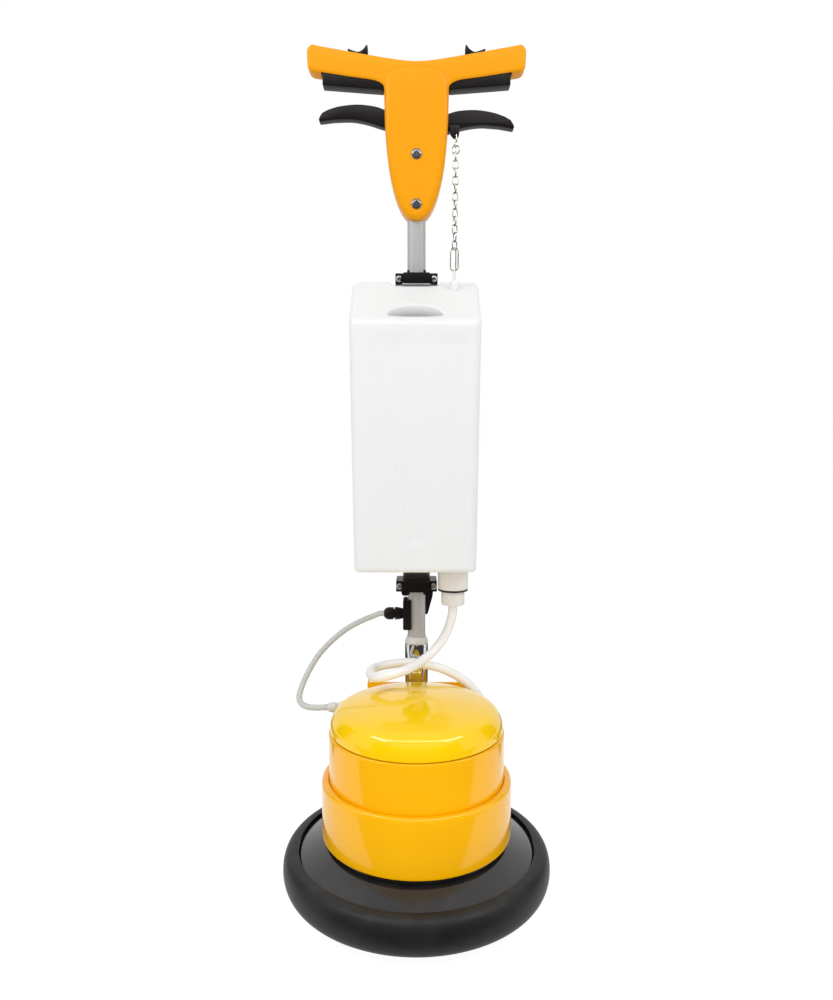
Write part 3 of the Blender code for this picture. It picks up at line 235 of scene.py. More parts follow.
def mixed(tree: Tree, share: Socket, first: Socket, second: Socket) -> Socket:
    """Mixes two colours.

    Args:
        tree: The tree it is built in.
        share: Socket of the second colour's share.
        first: The first colour's socket.
        second: The second colour's socket.

    Returns:
        The mixed colour's socket.
    """
    made = add_node(tree, "Mix", data_type="RGBA")
    for label, socket in (("Factor", share), ("A", first), ("B", second)):
        tree.links.new(socket, made.inputs[label])
    return made.outputs["Result"]


def noise(tree: Tree, place: Socket, detail: float) -> bpy.types.Node:
    """Adds a noise texture.

    Args:
        tree: The tree that gets it.
        place: Socket of the coordinates that it reads.
        detail: Its detail.

    Returns:
        The new node.
    """
    made = add_node(tree, "TexNoise")
    made.inputs["Detail"].default_value = detail
    tree.links.new(place, made.inputs["Vector"])
    return made


def surface_group() -> Tree:
    """The group that every finish uses: drifting tone, fine grain and settled dust.

    Returns:
        A group that gives a colour, a roughness and a bump height.
    """
    found = bpy.data.node_groups.get("Settled surface")
    if found:
        return found
    tree = new_group(
        "Settled surface",
        {
            "Color": ("Color", (0.8, 0.8, 0.8, 1)), "Shade": ("Color", (0.7, 0.7, 0.7, 1)),
            "Dust": ("Color", (0.5, 0.48, 0.45, 1)), "Roughness": ("Float", 0.4),
            "Grain Stretch": ("Vector", (1, 1, 1)), "Grain Scale": ("Float", 900.0),
            "Drift Scale": ("Float", 9.0), "Drift": ("Float", 0.5), "Dust Amount": ("Float", 0.1),
            "Rough Spread": ("Float", 0.06),
        },
        {"Color": "Color", "Roughness": "Float", "Height": "Float"},
    )
    source, target = tree.nodes["Input"].outputs, tree.nodes["Output"].inputs
    place = add_node(tree, "TexCoord").outputs["Object"]

    drift = noise(tree, place, 3)
    tree.links.new(source["Drift Scale"], drift.inputs["Scale"])
    clouds = ramp(tree, drift.outputs["Fac"], (0.35, 0.0), (0.65, 1.0))
    tone = worked(tree, "MULTIPLY", clouds, source["Drift"])
    clean = mixed(tree, tone, source["Color"], source["Shade"])

    patches = noise(tree, place, 8)
    patches.inputs["Scale"].default_value = 34
    facing = add_node(tree, "SeparateXYZ")
    tree.links.new(add_node(tree, "NewGeometry").outputs["Normal"], facing.inputs["Vector"])
    upward = ramp(tree, facing.outputs["Z"], (0.25, 0.0), (0.95, 1.0))
    spotty = ramp(tree, patches.outputs["Fac"], (0.45, 0.25), (0.75, 1.0))
    settled = worked(tree, "MULTIPLY", upward, spotty)
    dust = worked(tree, "MULTIPLY", settled, source["Dust Amount"])
    tree.links.new(mixed(tree, dust, clean, source["Dust"]), target["Color"])

    stretch = add_node(tree, "Mapping")
    tree.links.new(place, stretch.inputs["Vector"])
    tree.links.new(source["Grain Stretch"], stretch.inputs["Scale"])
    grain = noise(tree, stretch.outputs["Vector"], 4)
    tree.links.new(source["Grain Scale"], grain.inputs["Scale"])
    tree.links.new(grain.outputs["Fac"], target["Height"])

    uneven = worked(tree, "SUBTRACT", grain.outputs["Fac"], 0.5)
    spread = worked(tree, "MULTIPLY", uneven, source["Rough Spread"])
    rough = worked(tree, "ADD", source["Roughness"], spread)
    tree.links.new(worked(tree, "ADD", rough, dust, clamp=True), target["Roughness"])
    return tree


@dataclass(frozen=True)
class Finish:
    """One surface finish of the machine."""

    name: str
    slot: str
    color: Color
    shade: Color
    roughness: float
    metallic: float = 0.0
    grain: Grain = Grain.EVEN
    grain_scale: float = 900.0
    grain_height: float = 0.00002
    drift: float = 0.4
    drift_scale: float = 9.0
    dust: float = 0.0
    spread: float = 0.06
    coat: float = 0.0
    coat_roughness: float = 0.05
    subsurface: float = 0.0
    specular: float = 0.5

    def material(self) -> bpy.types.Material:
        """Builds the material, once.

        Returns:
            The material.
        """
        found = bpy.data.materials.get(self.name)
        if found:
            return found
        made = bpy.data.materials.new(self.name)
        made.use_nodes = True
        tree = made.node_tree
        shader = tree.nodes["Principled BSDF"]
        surface = add_node(tree, "Group", node_tree=surface_group())
        values = {
            "Color": (*self.color, 1), "Shade": (*self.shade, 1), "Roughness": self.roughness,
            "Grain Stretch": self.grain.value, "Grain Scale": self.grain_scale,
            "Drift Scale": self.drift_scale, "Drift": self.drift, "Dust Amount": self.dust,
            "Rough Spread": self.spread,
        }
        for label, value in values.items():
            surface.inputs[label].default_value = value
        if self.grain_height:
            bump = add_node(tree, "Bump")
            bump.inputs["Distance"].default_value = self.grain_height
            bump.inputs["Strength"].default_value = 1.0
            tree.links.new(surface.outputs["Height"], bump.inputs["Height"])
            tree.links.new(bump.outputs["Normal"], shader.inputs["Normal"])
        tree.links.new(surface.outputs["Color"], shader.inputs["Base Color"])
        tree.links.new(surface.outputs["Roughness"], shader.inputs["Roughness"])
        for label, value in {
            "Metallic": self.metallic, "Coat Weight": self.coat, "Coat Roughness": self.coat_roughness,
            "Subsurface Weight": self.subsurface, "Specular IOR Level": self.specular,
        }.items():
            shader.inputs[label].default_value = value
        if self.subsurface:
            shader.inputs["Subsurface Radius"].default_value = LIGHT_DEPTH
            shader.inputs["Subsurface Scale"].default_value = 1.0
        return made


YELLOW = Finish(
    "yellow_gloss_paint", "yellow_paint", (1.0, 0.50, 0.0), (0.98, 0.46, 0.0), 0.20,
    grain_scale=420, grain_height=0.000012, coat=0.55, coat_roughness=0.06, spread=0.03, dust=0.01,
    specular=0.15,
)
# Painted light: the same yellow paint as the skirt's and the casing's, made lighter for the dome.
LIT_YELLOW = Finish(
    "dome_gloss_paint", "yellow_paint", (1.0, 0.63, 0.0), (0.98, 0.59, 0.0), 0.17,
    grain_scale=420, grain_height=0.000012, coat=0.55, coat_roughness=0.05, spread=0.03, dust=0.01,
    specular=0.15,
)
ORANGE = Finish(
    "handle_satin_plastic", "orange_plastic", (0.87, 0.340, 0.0), (0.84, 0.320, 0.0), 0.34,
    grain_scale=2600, grain_height=0.00002, spread=0.08, dust=0.01, specular=0.14,
)
BLACK = Finish(
    "black_moulded_plastic", "black_plastic", (0.008, 0.006, 0.006), (0.013, 0.010, 0.010), 0.38,
    grain_scale=2400, grain_height=0.00003, spread=0.14, dust=0.02, specular=0.16,
)
DECK = Finish(
    "black_deck_enamel", "black_paint", (0.008, 0.007, 0.007), (0.013, 0.012, 0.012), 0.13,
    grain_scale=300, grain_height=0.00001, coat=0.40, coat_roughness=0.04, spread=0.05, dust=0.03,
    specular=0.35,
)
RUBBER = Finish(
    "bumper_rubber", "rubber", (0.012, 0.012, 0.013), (0.019, 0.019, 0.020), 0.44,
    grain_scale=700, grain_height=0.00005, drift=0.7, drift_scale=22, spread=0.22, dust=0.04,
    specular=0.2,
)
TYRE = Finish(
    "grey_wheel_rubber", "rubber", (0.035, 0.035, 0.037), (0.05, 0.05, 0.05), 0.6,
    grain_scale=900, grain_height=0.00006, spread=0.2, dust=0.10,
)
SEAL = Finish(
    "seal_rubber", "rubber", (0.012, 0.012, 0.013), (0.02, 0.02, 0.02), 0.5, grain_scale=1500,
)
TANK = Finish(
    "milky_tank_plastic", "tank_plastic", (0.85, 0.855, 0.845), (0.82, 0.825, 0.815), 0.40,
    grain_scale=1300, grain_height=0.00003, drift_scale=5, subsurface=0.3, spread=0.10, specular=0.3,
)
OUTLET = Finish(
    "ivory_outlet_plastic", "tank_plastic", (0.80, 0.77, 0.73), (0.76, 0.73, 0.69), 0.42,
    grain_scale=1700, grain_height=0.00003, subsurface=0.1,
)
HOSE = Finish(
    "milky_soft_hose", "tank_plastic", (0.90, 0.895, 0.885), (0.85, 0.845, 0.83), 0.28,
    grain_scale=300, grain_height=0.0, subsurface=0.2, specular=0.3, spread=0.0,
)
CABLE = Finish(
    "grey_cable_jacket", "grey_plastic", (0.56, 0.57, 0.55), (0.52, 0.53, 0.51), 0.36,
    grain_scale=700, grain_height=0.0, specular=0.2, spread=0.0, subsurface=0.15,
)
PALE = Finish(
    "pale_grey_plastic", "grey_plastic", (0.66, 0.655, 0.63), (0.60, 0.595, 0.57), 0.38,
    grain_scale=1500, grain_height=0.00002,
)
TUBE = Finish(
    "anodised_tube", "aluminium", (0.50, 0.495, 0.485), (0.455, 0.45, 0.44), 0.36, 0.22,
    grain=Grain.UP, grain_scale=1400, grain_height=0.000008, spread=0.16,
)
CAST = Finish(
    "cast_aluminium", "aluminium", (0.52, 0.52, 0.53), (0.42, 0.42, 0.43), 0.52, 1.0,
    grain_scale=600, grain_height=0.00010, spread=0.2,
)
CHROME = Finish(
    "bright_chrome", "chrome", (0.70, 0.70, 0.71), (0.66, 0.66, 0.67), 0.05, 1.0,
    grain_scale=900, grain_height=0.000002, spread=0.03,
)
CHAIN = Finish(
    "bright_chain_steel", "steel", (0.40, 0.37, 0.33), (0.28, 0.25, 0.22), 0.22, 1.0,
    grain_scale=1600, grain_height=0.00001, spread=0.1,
)
STEEL = Finish(
    "zinc_plated_steel", "steel", (0.62, 0.62, 0.63), (0.50, 0.50, 0.52), 0.30, 1.0,
    grain_scale=1600, grain_height=0.00002, spread=0.2, drift=0.7, drift_scale=60,
)
GEAR_STEEL = Finish(
    "ground_gear_steel", "steel", (0.42, 0.42, 0.44), (0.33, 0.33, 0.35), 0.34, 1.0,
    grain_scale=1100, grain_height=0.00003, spread=0.2,
)
SCREW_STEEL = Finish(
    "grey_screw_steel", "steel", (0.23, 0.23, 0.24), (0.17, 0.17, 0.18), 0.34, 0.9,
    grain_scale=1900, grain_height=0.00002, spread=0.2,
)
CORE = Finish(
    "varnished_core_sheets", "lamination", (0.17, 0.15, 0.14), (0.11, 0.10, 0.10), 0.46, 0.7,
    grain=Grain.ACROSS, grain_scale=900, grain_height=0.00008, spread=0.2,
)
PAD = Finish(
    "coarse_pad_fibre", "pad_fibre", (0.42, 0.022, 0.014), (0.24, 0.012, 0.010), 0.95,
    grain_scale=420, grain_height=0.0009, drift=0.9, drift_scale=160, specular=0.2,
)


# ---------------------------------------------------------------- shape helpers


def smooth_line(route: Sequence[Triple], step: float) -> list[Vector]:
    """Reads points off a smooth curve through a route.

    Args:
        route: The points that the curve passes.
        step: Distance between the points that are read.

    Returns:
        The points, ends included.
    """
    points = [Vector(p) for p in route]
    padded = [2 * points[0] - points[1], *points, 2 * points[-1] - points[-2]]
    line = []
    for a, b, c, d in zip(padded, padded[1:], padded[2:], padded[3:]):
        pieces = max(1, round((c - b).length / step))
        for i in range(pieces):
            t = i / pieces
            line.append(0.5 * (
                2 * b + (c - a) * t + (2 * a - 5 * b + 4 * c - d) * t * t
                + (3 * b - a - 3 * c + d) * t**3
            ))
    return [*line, points[-1]]


def line_length(line: Sequence[Vector]) -> float:
    """Length along a row of points."""
    return sum((b - a).length for a, b in zip(line, line[1:]))


def arc(centre: Pair, radius: float, start: float, end: float, steps: int = 6) -> list[Pair]:
    """Points of an arc.

    Args:
        centre: Its middle.
        radius: Its radius.
        start: First angle in degrees.
        end: Last angle in degrees.
        steps: Number of stretches.

    Returns:
        The points from first to last.
    """
    angles = [math.radians(start + (end - start) * i / steps) for i in range(steps + 1)]
    return [(centre[0] + radius * math.cos(a), centre[1] + radius * math.sin(a)) for a in angles]


def gentle(value: float) -> float:
    """Eases a value from 0 to 1, and holds it there beyond."""
    held = max(0.0, min(1.0, value))
    return held * held * (3 - 2 * held)


def eased(corners: Sequence[Triple], closed: bool = False, steps: int = 5) -> list[Pair]:
    """Rounds the corners of a profile.

    Args:
        corners: Points, each with the length that its rounding takes off both sides.
        closed: Whether the last point joins the first.
        steps: Stretches in each rounding.

    Returns:
        The rounded profile.
    """
    most = 0.49  # share of a side that one rounding may take up
    made: list[Pair] = []
    count = len(corners)
    for i, (x, y, size) in enumerate(corners):
        end = not closed and i in (0, count - 1)
        if size <= 0 or end:
            made.append((x, y))
            continue
        here = Vector((x, y))
        before = Vector(corners[i - 1][:2]) - here
        after = Vector(corners[(i + 1) % count][:2]) - here
        first = here + before.normalized() * min(size, before.length * most)
        last = here + after.normalized() * min(size, after.length * most)
        for k in range(steps + 1):
            t = k / steps
            point = first * (1 - t) ** 2 + here * 2 * t * (1 - t) + last * t * t
            made.append((point.x, point.y))
    return made


def spun(profile: Sequence[Pair], steps: int = FINE, ring: bool = False) -> Shape:
    """Turns a profile of radius and height round the Z axis.

    Args:
        profile: Points from one end to the other.
        steps: Steps round.
        ring: Whether the profile closes on itself, as a ring's does.

    Returns:
        The closed shape.
    """
    form = bmesh.new()
    points = [form.verts.new((radius, 0, height)) for radius, height in profile]
    edges = [form.edges.new(pair) for pair in zip(points, points[1:])]
    if ring:
        edges.append(form.edges.new((points[-1], points[0])))
    bmesh.ops.spin(
        form, geom=[*points, *edges], cent=(0, 0, 0), axis=(0, 0, 1), angle=math.tau, steps=steps,
        use_merge=True,
    )
    bmesh.ops.remove_doubles(form, verts=form.verts, dist=WELD)
    bmesh.ops.recalc_face_normals(form, faces=form.faces)
    return form


def tube(inner: float, outer: float, low: float, high: float, steps: int = SMALL) -> Shape:
    """A plain ring round the Z axis."""
    return spun([(inner, low), (outer, low), (outer, high), (inner, high)], steps, ring=True)


def aimed(form: Shape, axis: Triple, place: Triple) -> Shape:
    """Turns a shape's Z axis to another direction and moves it.

    Args:
        form: The shape.
        axis: Where its Z axis goes.
        place: Where its origin goes.

    Returns:
        The same shape.
    """
    turn = Vector((0, 0, 1)).rotation_difference(Vector(axis)).to_matrix().to_4x4()
    form.transform(Matrix.Translation(place) @ turn)
    return form


def grooved(
    form: Shape, least: float, radius: float, deep: float, count: int, power: float,
    top: float = math.inf,
) -> Shape:
    """Cuts grooves along the outside of a shape turned round the Z axis.

    Args:
        form: The shape.
        least: Vertices nearer to the axis than this stay.
        radius: The shape's radius.
        deep: The grooves' depth.
        count: Number of grooves.
        power: How narrow they are; more is narrower.
        top: Vertices at this height or above it stay.

    Returns:
        The same shape.
    """
    for vert in form.verts:
        if math.hypot(vert.co.x, vert.co.y) > least and vert.co.z < top:
            wave = max(0.0, math.cos(math.atan2(vert.co.y, vert.co.x) * count))
            vert.co.xy *= 1 - deep * wave**power / radius
    return form


def slab(outline: Sequence[Pair], start: float, end: float) -> Shape:
    """Extrudes an outline of X and Z from one depth to another.

    Args:
        outline: The outline's points.
        start: First depth.
        end: Last depth.

    Returns:
        The closed shape.
    """
    form = bmesh.new()
    face = form.faces.new([form.verts.new((x, start, z)) for x, z in outline])
    grown = bmesh.ops.extrude_face_region(form, geom=[face])
    moved = [item for item in grown["geom"] if isinstance(item, Vert)]
    bmesh.ops.translate(form, vec=(0, end - start, 0), verts=moved)
    bmesh.ops.recalc_face_normals(form, faces=form.faces)
    return form


def grown(form: Shape, edges: Sequence[Edge]) -> tuple[list[Edge], list[Vert]]:
    """Extrudes a row of edges.

    Args:
        form: The shape.
        edges: The row.

    Returns:
        The new edges and vertices, which still lie on the old ones.
    """
    items = bmesh.ops.extrude_edge_only(form, edges=edges)["geom"]
    verts = [item for item in items if isinstance(item, Vert)]
    return [item for item in items if isinstance(item, Edge)], verts


def rolled(form: Shape, way: float, across: float, rise: float, steps: int = 7) -> Shape:
    """Rolls the rim of a slab's outermost face over in a quarter round.

    Args:
        form: The slab, whose face lies square to the Y axis.
        way: -1 for the face at the front, 1 for the one at the back.
        across: How far in from the outline the rolled rim reaches.
        rise: How deep the rolled rim is.
        steps: Stretches in the roll.

    Returns:
        The same shape.
    """
    face = max(form.faces, key=lambda f: way * f.calc_center_median().y)
    for k in range(steps):
        low = math.pi / 2 * k / steps
        high = math.pi / 2 * (k + 1) / steps
        form.normal_update()
        bmesh.ops.inset_region(
            form, faces=[face], thickness=across * (math.cos(low) - math.cos(high)), depth=0,
            use_even_offset=True,
        )
        step = way * rise * (math.sin(high) - math.sin(low))
        bmesh.ops.translate(form, vec=(0, step, 0), verts=face.verts)
    return form


def crowned(
    outline: Sequence[Pair], split: float, front: float, across: float, rise: float, steps: int = 7
) -> Shape:
    """A moulded half whose rim rolls over into its face.

    Args:
        outline: Outline of X and Z at the split.
        split: Depth of the flat side.
        front: Depth of the face.
        across: How far in from the outline the rolled rim reaches.
        rise: How deep the rolled rim is.
        steps: Stretches in the roll.

    Returns:
        The closed shape.
    """
    way = math.copysign(1.0, front - split)
    return rolled(slab(outline, split, front - way * rise), way, across, rise, steps)


def pebble(
    outline: Sequence[Pair], near: float, far: float, across: float, rise: float, steps: int = 4
) -> Shape:
    """A slab with both of its rims rolled over.

    Args:
        outline: Its outline of X and Z.
        near: Depth of its front face.
        far: Depth of its back face.
        across: How far in the rolled rims reach.
        rise: How deep they are.
        steps: Stretches in each roll.

    Returns:
        The closed shape.
    """
    form = slab(outline, near + rise, far - rise)
    return rolled(rolled(form, -1, across, rise, steps), 1, across, rise, steps)


def flowing(points: Sequence[Pair], step: float = 0.003) -> list[Pair]:
    """Points of a smooth curve through some points of X and Z."""
    return [(p.x, p.z) for p in smooth_line([(x, 0, z) for x, z in points], step)]


def wire(
    points: Sequence[Vector], radius: float, closed: bool = False, resolution: int = 3
) -> bpy.types.Mesh:
    """A round wire along a row of points.

    Args:
        points: The points.
        radius: The wire's radius.
        closed: Whether its end meets its start.
        resolution: How finely its section is rounded.

    Returns:
        A new mesh.
    """
    shape = bpy.data.curves.new("wire", "CURVE")
    shape.dimensions = "3D"
    shape.bevel_depth = radius
    shape.bevel_resolution = resolution
    shape.use_fill_caps = not closed
    spline = shape.splines.new("POLY")
    spline.points.add(len(points) - 1)
    for point, place in zip(spline.points, points):
        point.co = (*place, 1)
    spline.use_cyclic_u = closed
    guide = bpy.data.objects.new("wire", shape)
    bpy.context.scene.collection.objects.link(guide)
    bpy.context.view_layer.update()
    mesh = bpy.data.meshes.new_from_object(guide.evaluated_get(bpy.context.evaluated_depsgraph_get()))
    bpy.data.objects.remove(guide)
    bpy.data.curves.remove(shape)
    return mesh


def wired(*rows: Wire, resolution: int = 3) -> Shape:
    """One shape of several wires.

    Args:
        rows: The wires.
        resolution: How finely their sections are rounded.

    Returns:
        The shape.
    """
    form = bmesh.new()
    for points, radius, closed in rows:
        mesh = wire(points, radius, closed, resolution)
        form.from_mesh(mesh)
        bpy.data.meshes.remove(mesh)
    bmesh.ops.recalc_face_normals(form, faces=form.faces)
    return form


def combined(form: Shape, tool: Shape, way: Merge = Merge.CUT) -> Shape:
    """Cuts a shape by another, or unites them.

    Args:
        form: The shape; it is freed.
        tool: The other one; it is freed.
        way: How they are combined.

    Returns:
        The new shape.
    """
    pair = []
    for shape in (form, tool):
        bmesh.ops.triangulate(shape, faces=shape.faces)
        mesh = bpy.data.meshes.new("working")
        shape.to_mesh(mesh)
        shape.free()
        thing = bpy.data.objects.new("working", mesh)
        bpy.context.scene.collection.objects.link(thing)
        pair.append(thing)
    change = pair[0].modifiers.new("change", "BOOLEAN")
    change.object = pair[1]
    change.operation = way.value
    change.solver = "EXACT"
    bpy.context.view_layer.update()
    whole = pair[0].evaluated_get(bpy.context.evaluated_depsgraph_get())
    result = bmesh.new()
    result.from_mesh(whole.to_mesh())
    whole.to_mesh_clear()
    for thing in pair:
        mesh = thing.data
        bpy.data.objects.remove(thing)
        bpy.data.meshes.remove(mesh)
    bmesh.ops.remove_doubles(result, verts=result.verts, dist=WELD)
    return result


def softened(form: Shape, width: float, segments: int = 2, sharp: float = 35) -> Shape:
    """Bevels the sharp edges of a shape.

    Args:
        form: The shape.
        width: The bevel's width.
        segments: Its segments.
        sharp: Least angle of a sharp edge, in degrees.

    Returns:
        The same shape.
    """
    limit = math.radians(sharp)
    edges = [e for e in form.edges if e.is_manifold and e.calc_face_angle(0) > limit]
    bmesh.ops.bevel(
        form, geom=edges, offset=width, offset_type="OFFSET", segments=segments, profile=0.5,
        affect="EDGES", clamp_overlap=True, material=-1,
    )
    return form


def block(low: Triple, high: Triple, width: float = 0.0, segments: int = 2) -> Shape:
    """A box between two corners with bevelled edges.

    Args:
        low: Lowest corner.
        high: Highest corner.
        width: The bevel's width, or 0.
        segments: The bevel's segments.

    Returns:
        The closed shape.
    """
    form = bmesh.new()
    size = [b - a for a, b in zip(low, high)]
    middle = [(a + b) / 2 for a, b in zip(low, high)]
    bmesh.ops.create_cube(form, size=1.0, matrix=Matrix.Translation(middle) @ Matrix.Diagonal((*size, 1)))
    return softened(form, width, segments) if width else form


def joined(*forms: Shape) -> Shape:
    """Puts several closed shapes into one and frees the others.

    Args:
        forms: The shapes.

    Returns:
        One shape that holds them all.
    """
    whole = bmesh.new()
    for form in forms:
        mesh = bpy.data.meshes.new("joint")
        form.to_mesh(mesh)
        form.free()
        whole.from_mesh(mesh)
        bpy.data.meshes.remove(mesh)
    return whole


def node_copy(node: str) -> Shape:
    """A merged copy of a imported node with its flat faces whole.

    Args:
        node: The node's name.

    Returns:
        The copy.
    """
    form = bmesh.new()
    form.from_mesh(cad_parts[node].data)
    bmesh.ops.remove_doubles(form, verts=form.verts, dist=NODE_WELD)
    bmesh.ops.dissolve_limit(
        form, angle_limit=FLAT, verts=form.verts, edges=form.edges, use_dissolve_boundaries=False,
    )
    return form


def dressed(name: str, form: Shape, finish: Finish, crisp: float = CRISP) -> bpy.types.Object:
    """Makes a shape an object with its finish.

    Args:
        name: The object's name.
        form: Its shape, in place; it is freed.
        finish: Its finish.
        crisp: Edges sharper than this angle are shaded sharp.

    Returns:
        The new object.
    """
    bmesh.ops.remove_doubles(form, verts=form.verts, dist=WELD)
    mesh = bpy.data.meshes.new(name)
    form.to_mesh(mesh)
    form.free()
    mesh.materials.append(finish.material())
    mesh.shade_smooth()
    mesh.set_sharp_from_angle(angle=crisp)
    piece = bpy.data.objects.new(name, mesh)
    bpy.context.scene.collection.objects.link(piece)
    return piece


def publish(
    name: str, form: Shape, finish: Finish, rides: Rides, replaces: Sequence[str] = (),
    crisp: float = CRISP,
) -> bpy.types.Object:
    """Makes a shape a finished piece of the machine.

    Args:
        name: The piece's name.
        form: Its shape, in place; it is freed.
        finish: Its finish.
        rides: The body that it moves with.
        replaces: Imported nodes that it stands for.
        crisp: Edges sharper than this angle are shaded sharp.

    Returns:
        The new object.
    """
    piece = dressed(name, form, finish, crisp)
    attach(piece, rides.value)
    if replaces:
        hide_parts(*replaces)
    LOG.info("%s: %d faces", name, len(piece.data.polygons))
    return piece


def refine(
    node: str, finish: Finish, rides: Rides, width: float = 0.0006, segments: int = 2, sharp: float = 35
) -> bpy.types.Object:
    """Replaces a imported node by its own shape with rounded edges.

    Args:
        node: The node's name; the piece is called after it.
        finish: The piece's finish.
        rides: The body that it moves with.
        width: The bevel's width.
        segments: The bevel's segments.
        sharp: Least angle of a bevelled edge, in degrees.

    Returns:
        The new object.
    """
    form = softened(node_copy(node), width, segments, sharp)
    return publish(node + "_shape", form, finish, rides, [node])


# ---------------------------------------------------------------- cords


@dataclass
class FreeCord:
    """A hose or cable between two fittings, which bends as the pole tilts."""

    name: str
    node: str
    route: Sequence[Triple]
    radius: float
    finish: Finish
    stiffness: str
    lay: str
    moves_above: float  # height from which it moves as the pole does
    still_below: float  # height up to which it stays as the base does
    resolution: int = 9
    crisp: float = math.radians(50)

    def build(self) -> bpy.types.Object:
        """Returns:
            The tube's object.
        """
        line = smooth_line(self.route, self.radius / 2)
        form = wired((line, self.radius, False), resolution=self.resolution)
        piece = dressed(self.name, form, self.finish, self.crisp)
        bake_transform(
            piece, Rides.POLE.value, Rides.BASE.value,
            start=(0, 0, self.moves_above), end=(0, 0, self.still_below),
        )
        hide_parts(self.node)
        LOG.info("%s: %.3f m long", self.name, line_length(line))
        return piece


CABLE_ROUTE = (
    (-0.0600, 0.1680, 0.4050), (-0.0680, 0.1680, 0.4045), (-0.0780, 0.1665, 0.4005),
    (-0.0987, 0.1620, 0.3930), (-0.1254, 0.1540, 0.3800), (-0.1508, 0.1430, 0.3615),
    (-0.1704, 0.1320, 0.3425), (-0.1836, 0.1210, 0.3240), (-0.1943, 0.1090, 0.3045),
    (-0.2008, 0.0970, 0.2875), (-0.2020, 0.0860, 0.2765), (-0.1965, 0.0745, 0.2700),
    (-0.1845, 0.0660, 0.2675), (-0.1690, 0.0615, 0.2678), (-0.1580, 0.0602, 0.2688),
    (-0.1508, 0.0600, 0.2690),
)
HOSE_ROUTE = (
    (0.0635, 0.1180, 0.4320), (0.0630, 0.1180, 0.4180), (0.0600, 0.1180, 0.4040),
    (0.0550, 0.1160, 0.3890), (0.0464, 0.1110, 0.3737), (0.0345, 0.1010, 0.3600),
    (0.0220, 0.0880, 0.3510), (0.0095, 0.0730, 0.3455), (-0.0025, 0.0560, 0.3420),
    (-0.0165, 0.0370, 0.3410), (-0.0300, 0.0250, 0.3400), (-0.0480, 0.0230, 0.3351),
    (-0.0640, 0.0360, 0.3280), (-0.0760, 0.0600, 0.3247), (-0.0784, 0.0870, 0.3238),
    (-0.0700, 0.1100, 0.3225), (-0.0538, 0.1245, 0.3224), (-0.0346, 0.1320, 0.3232),
    (-0.0098, 0.1350, 0.3239), (0.0169, 0.1340, 0.3199), (0.0453, 0.1300, 0.3140),
    (0.0746, 0.1260, 0.3005), (0.0976, 0.1225, 0.2830), (0.1130, 0.1200, 0.2620),
    (0.1190, 0.1190, 0.2380), (0.1197, 0.1190, 0.2050), (0.1195, 0.1190, 0.1650),
    (0.1195, 0.1190, 0.1250), (0.1195, 0.1190, 0.0930),
)


# ---------------------------------------------------------------- studio


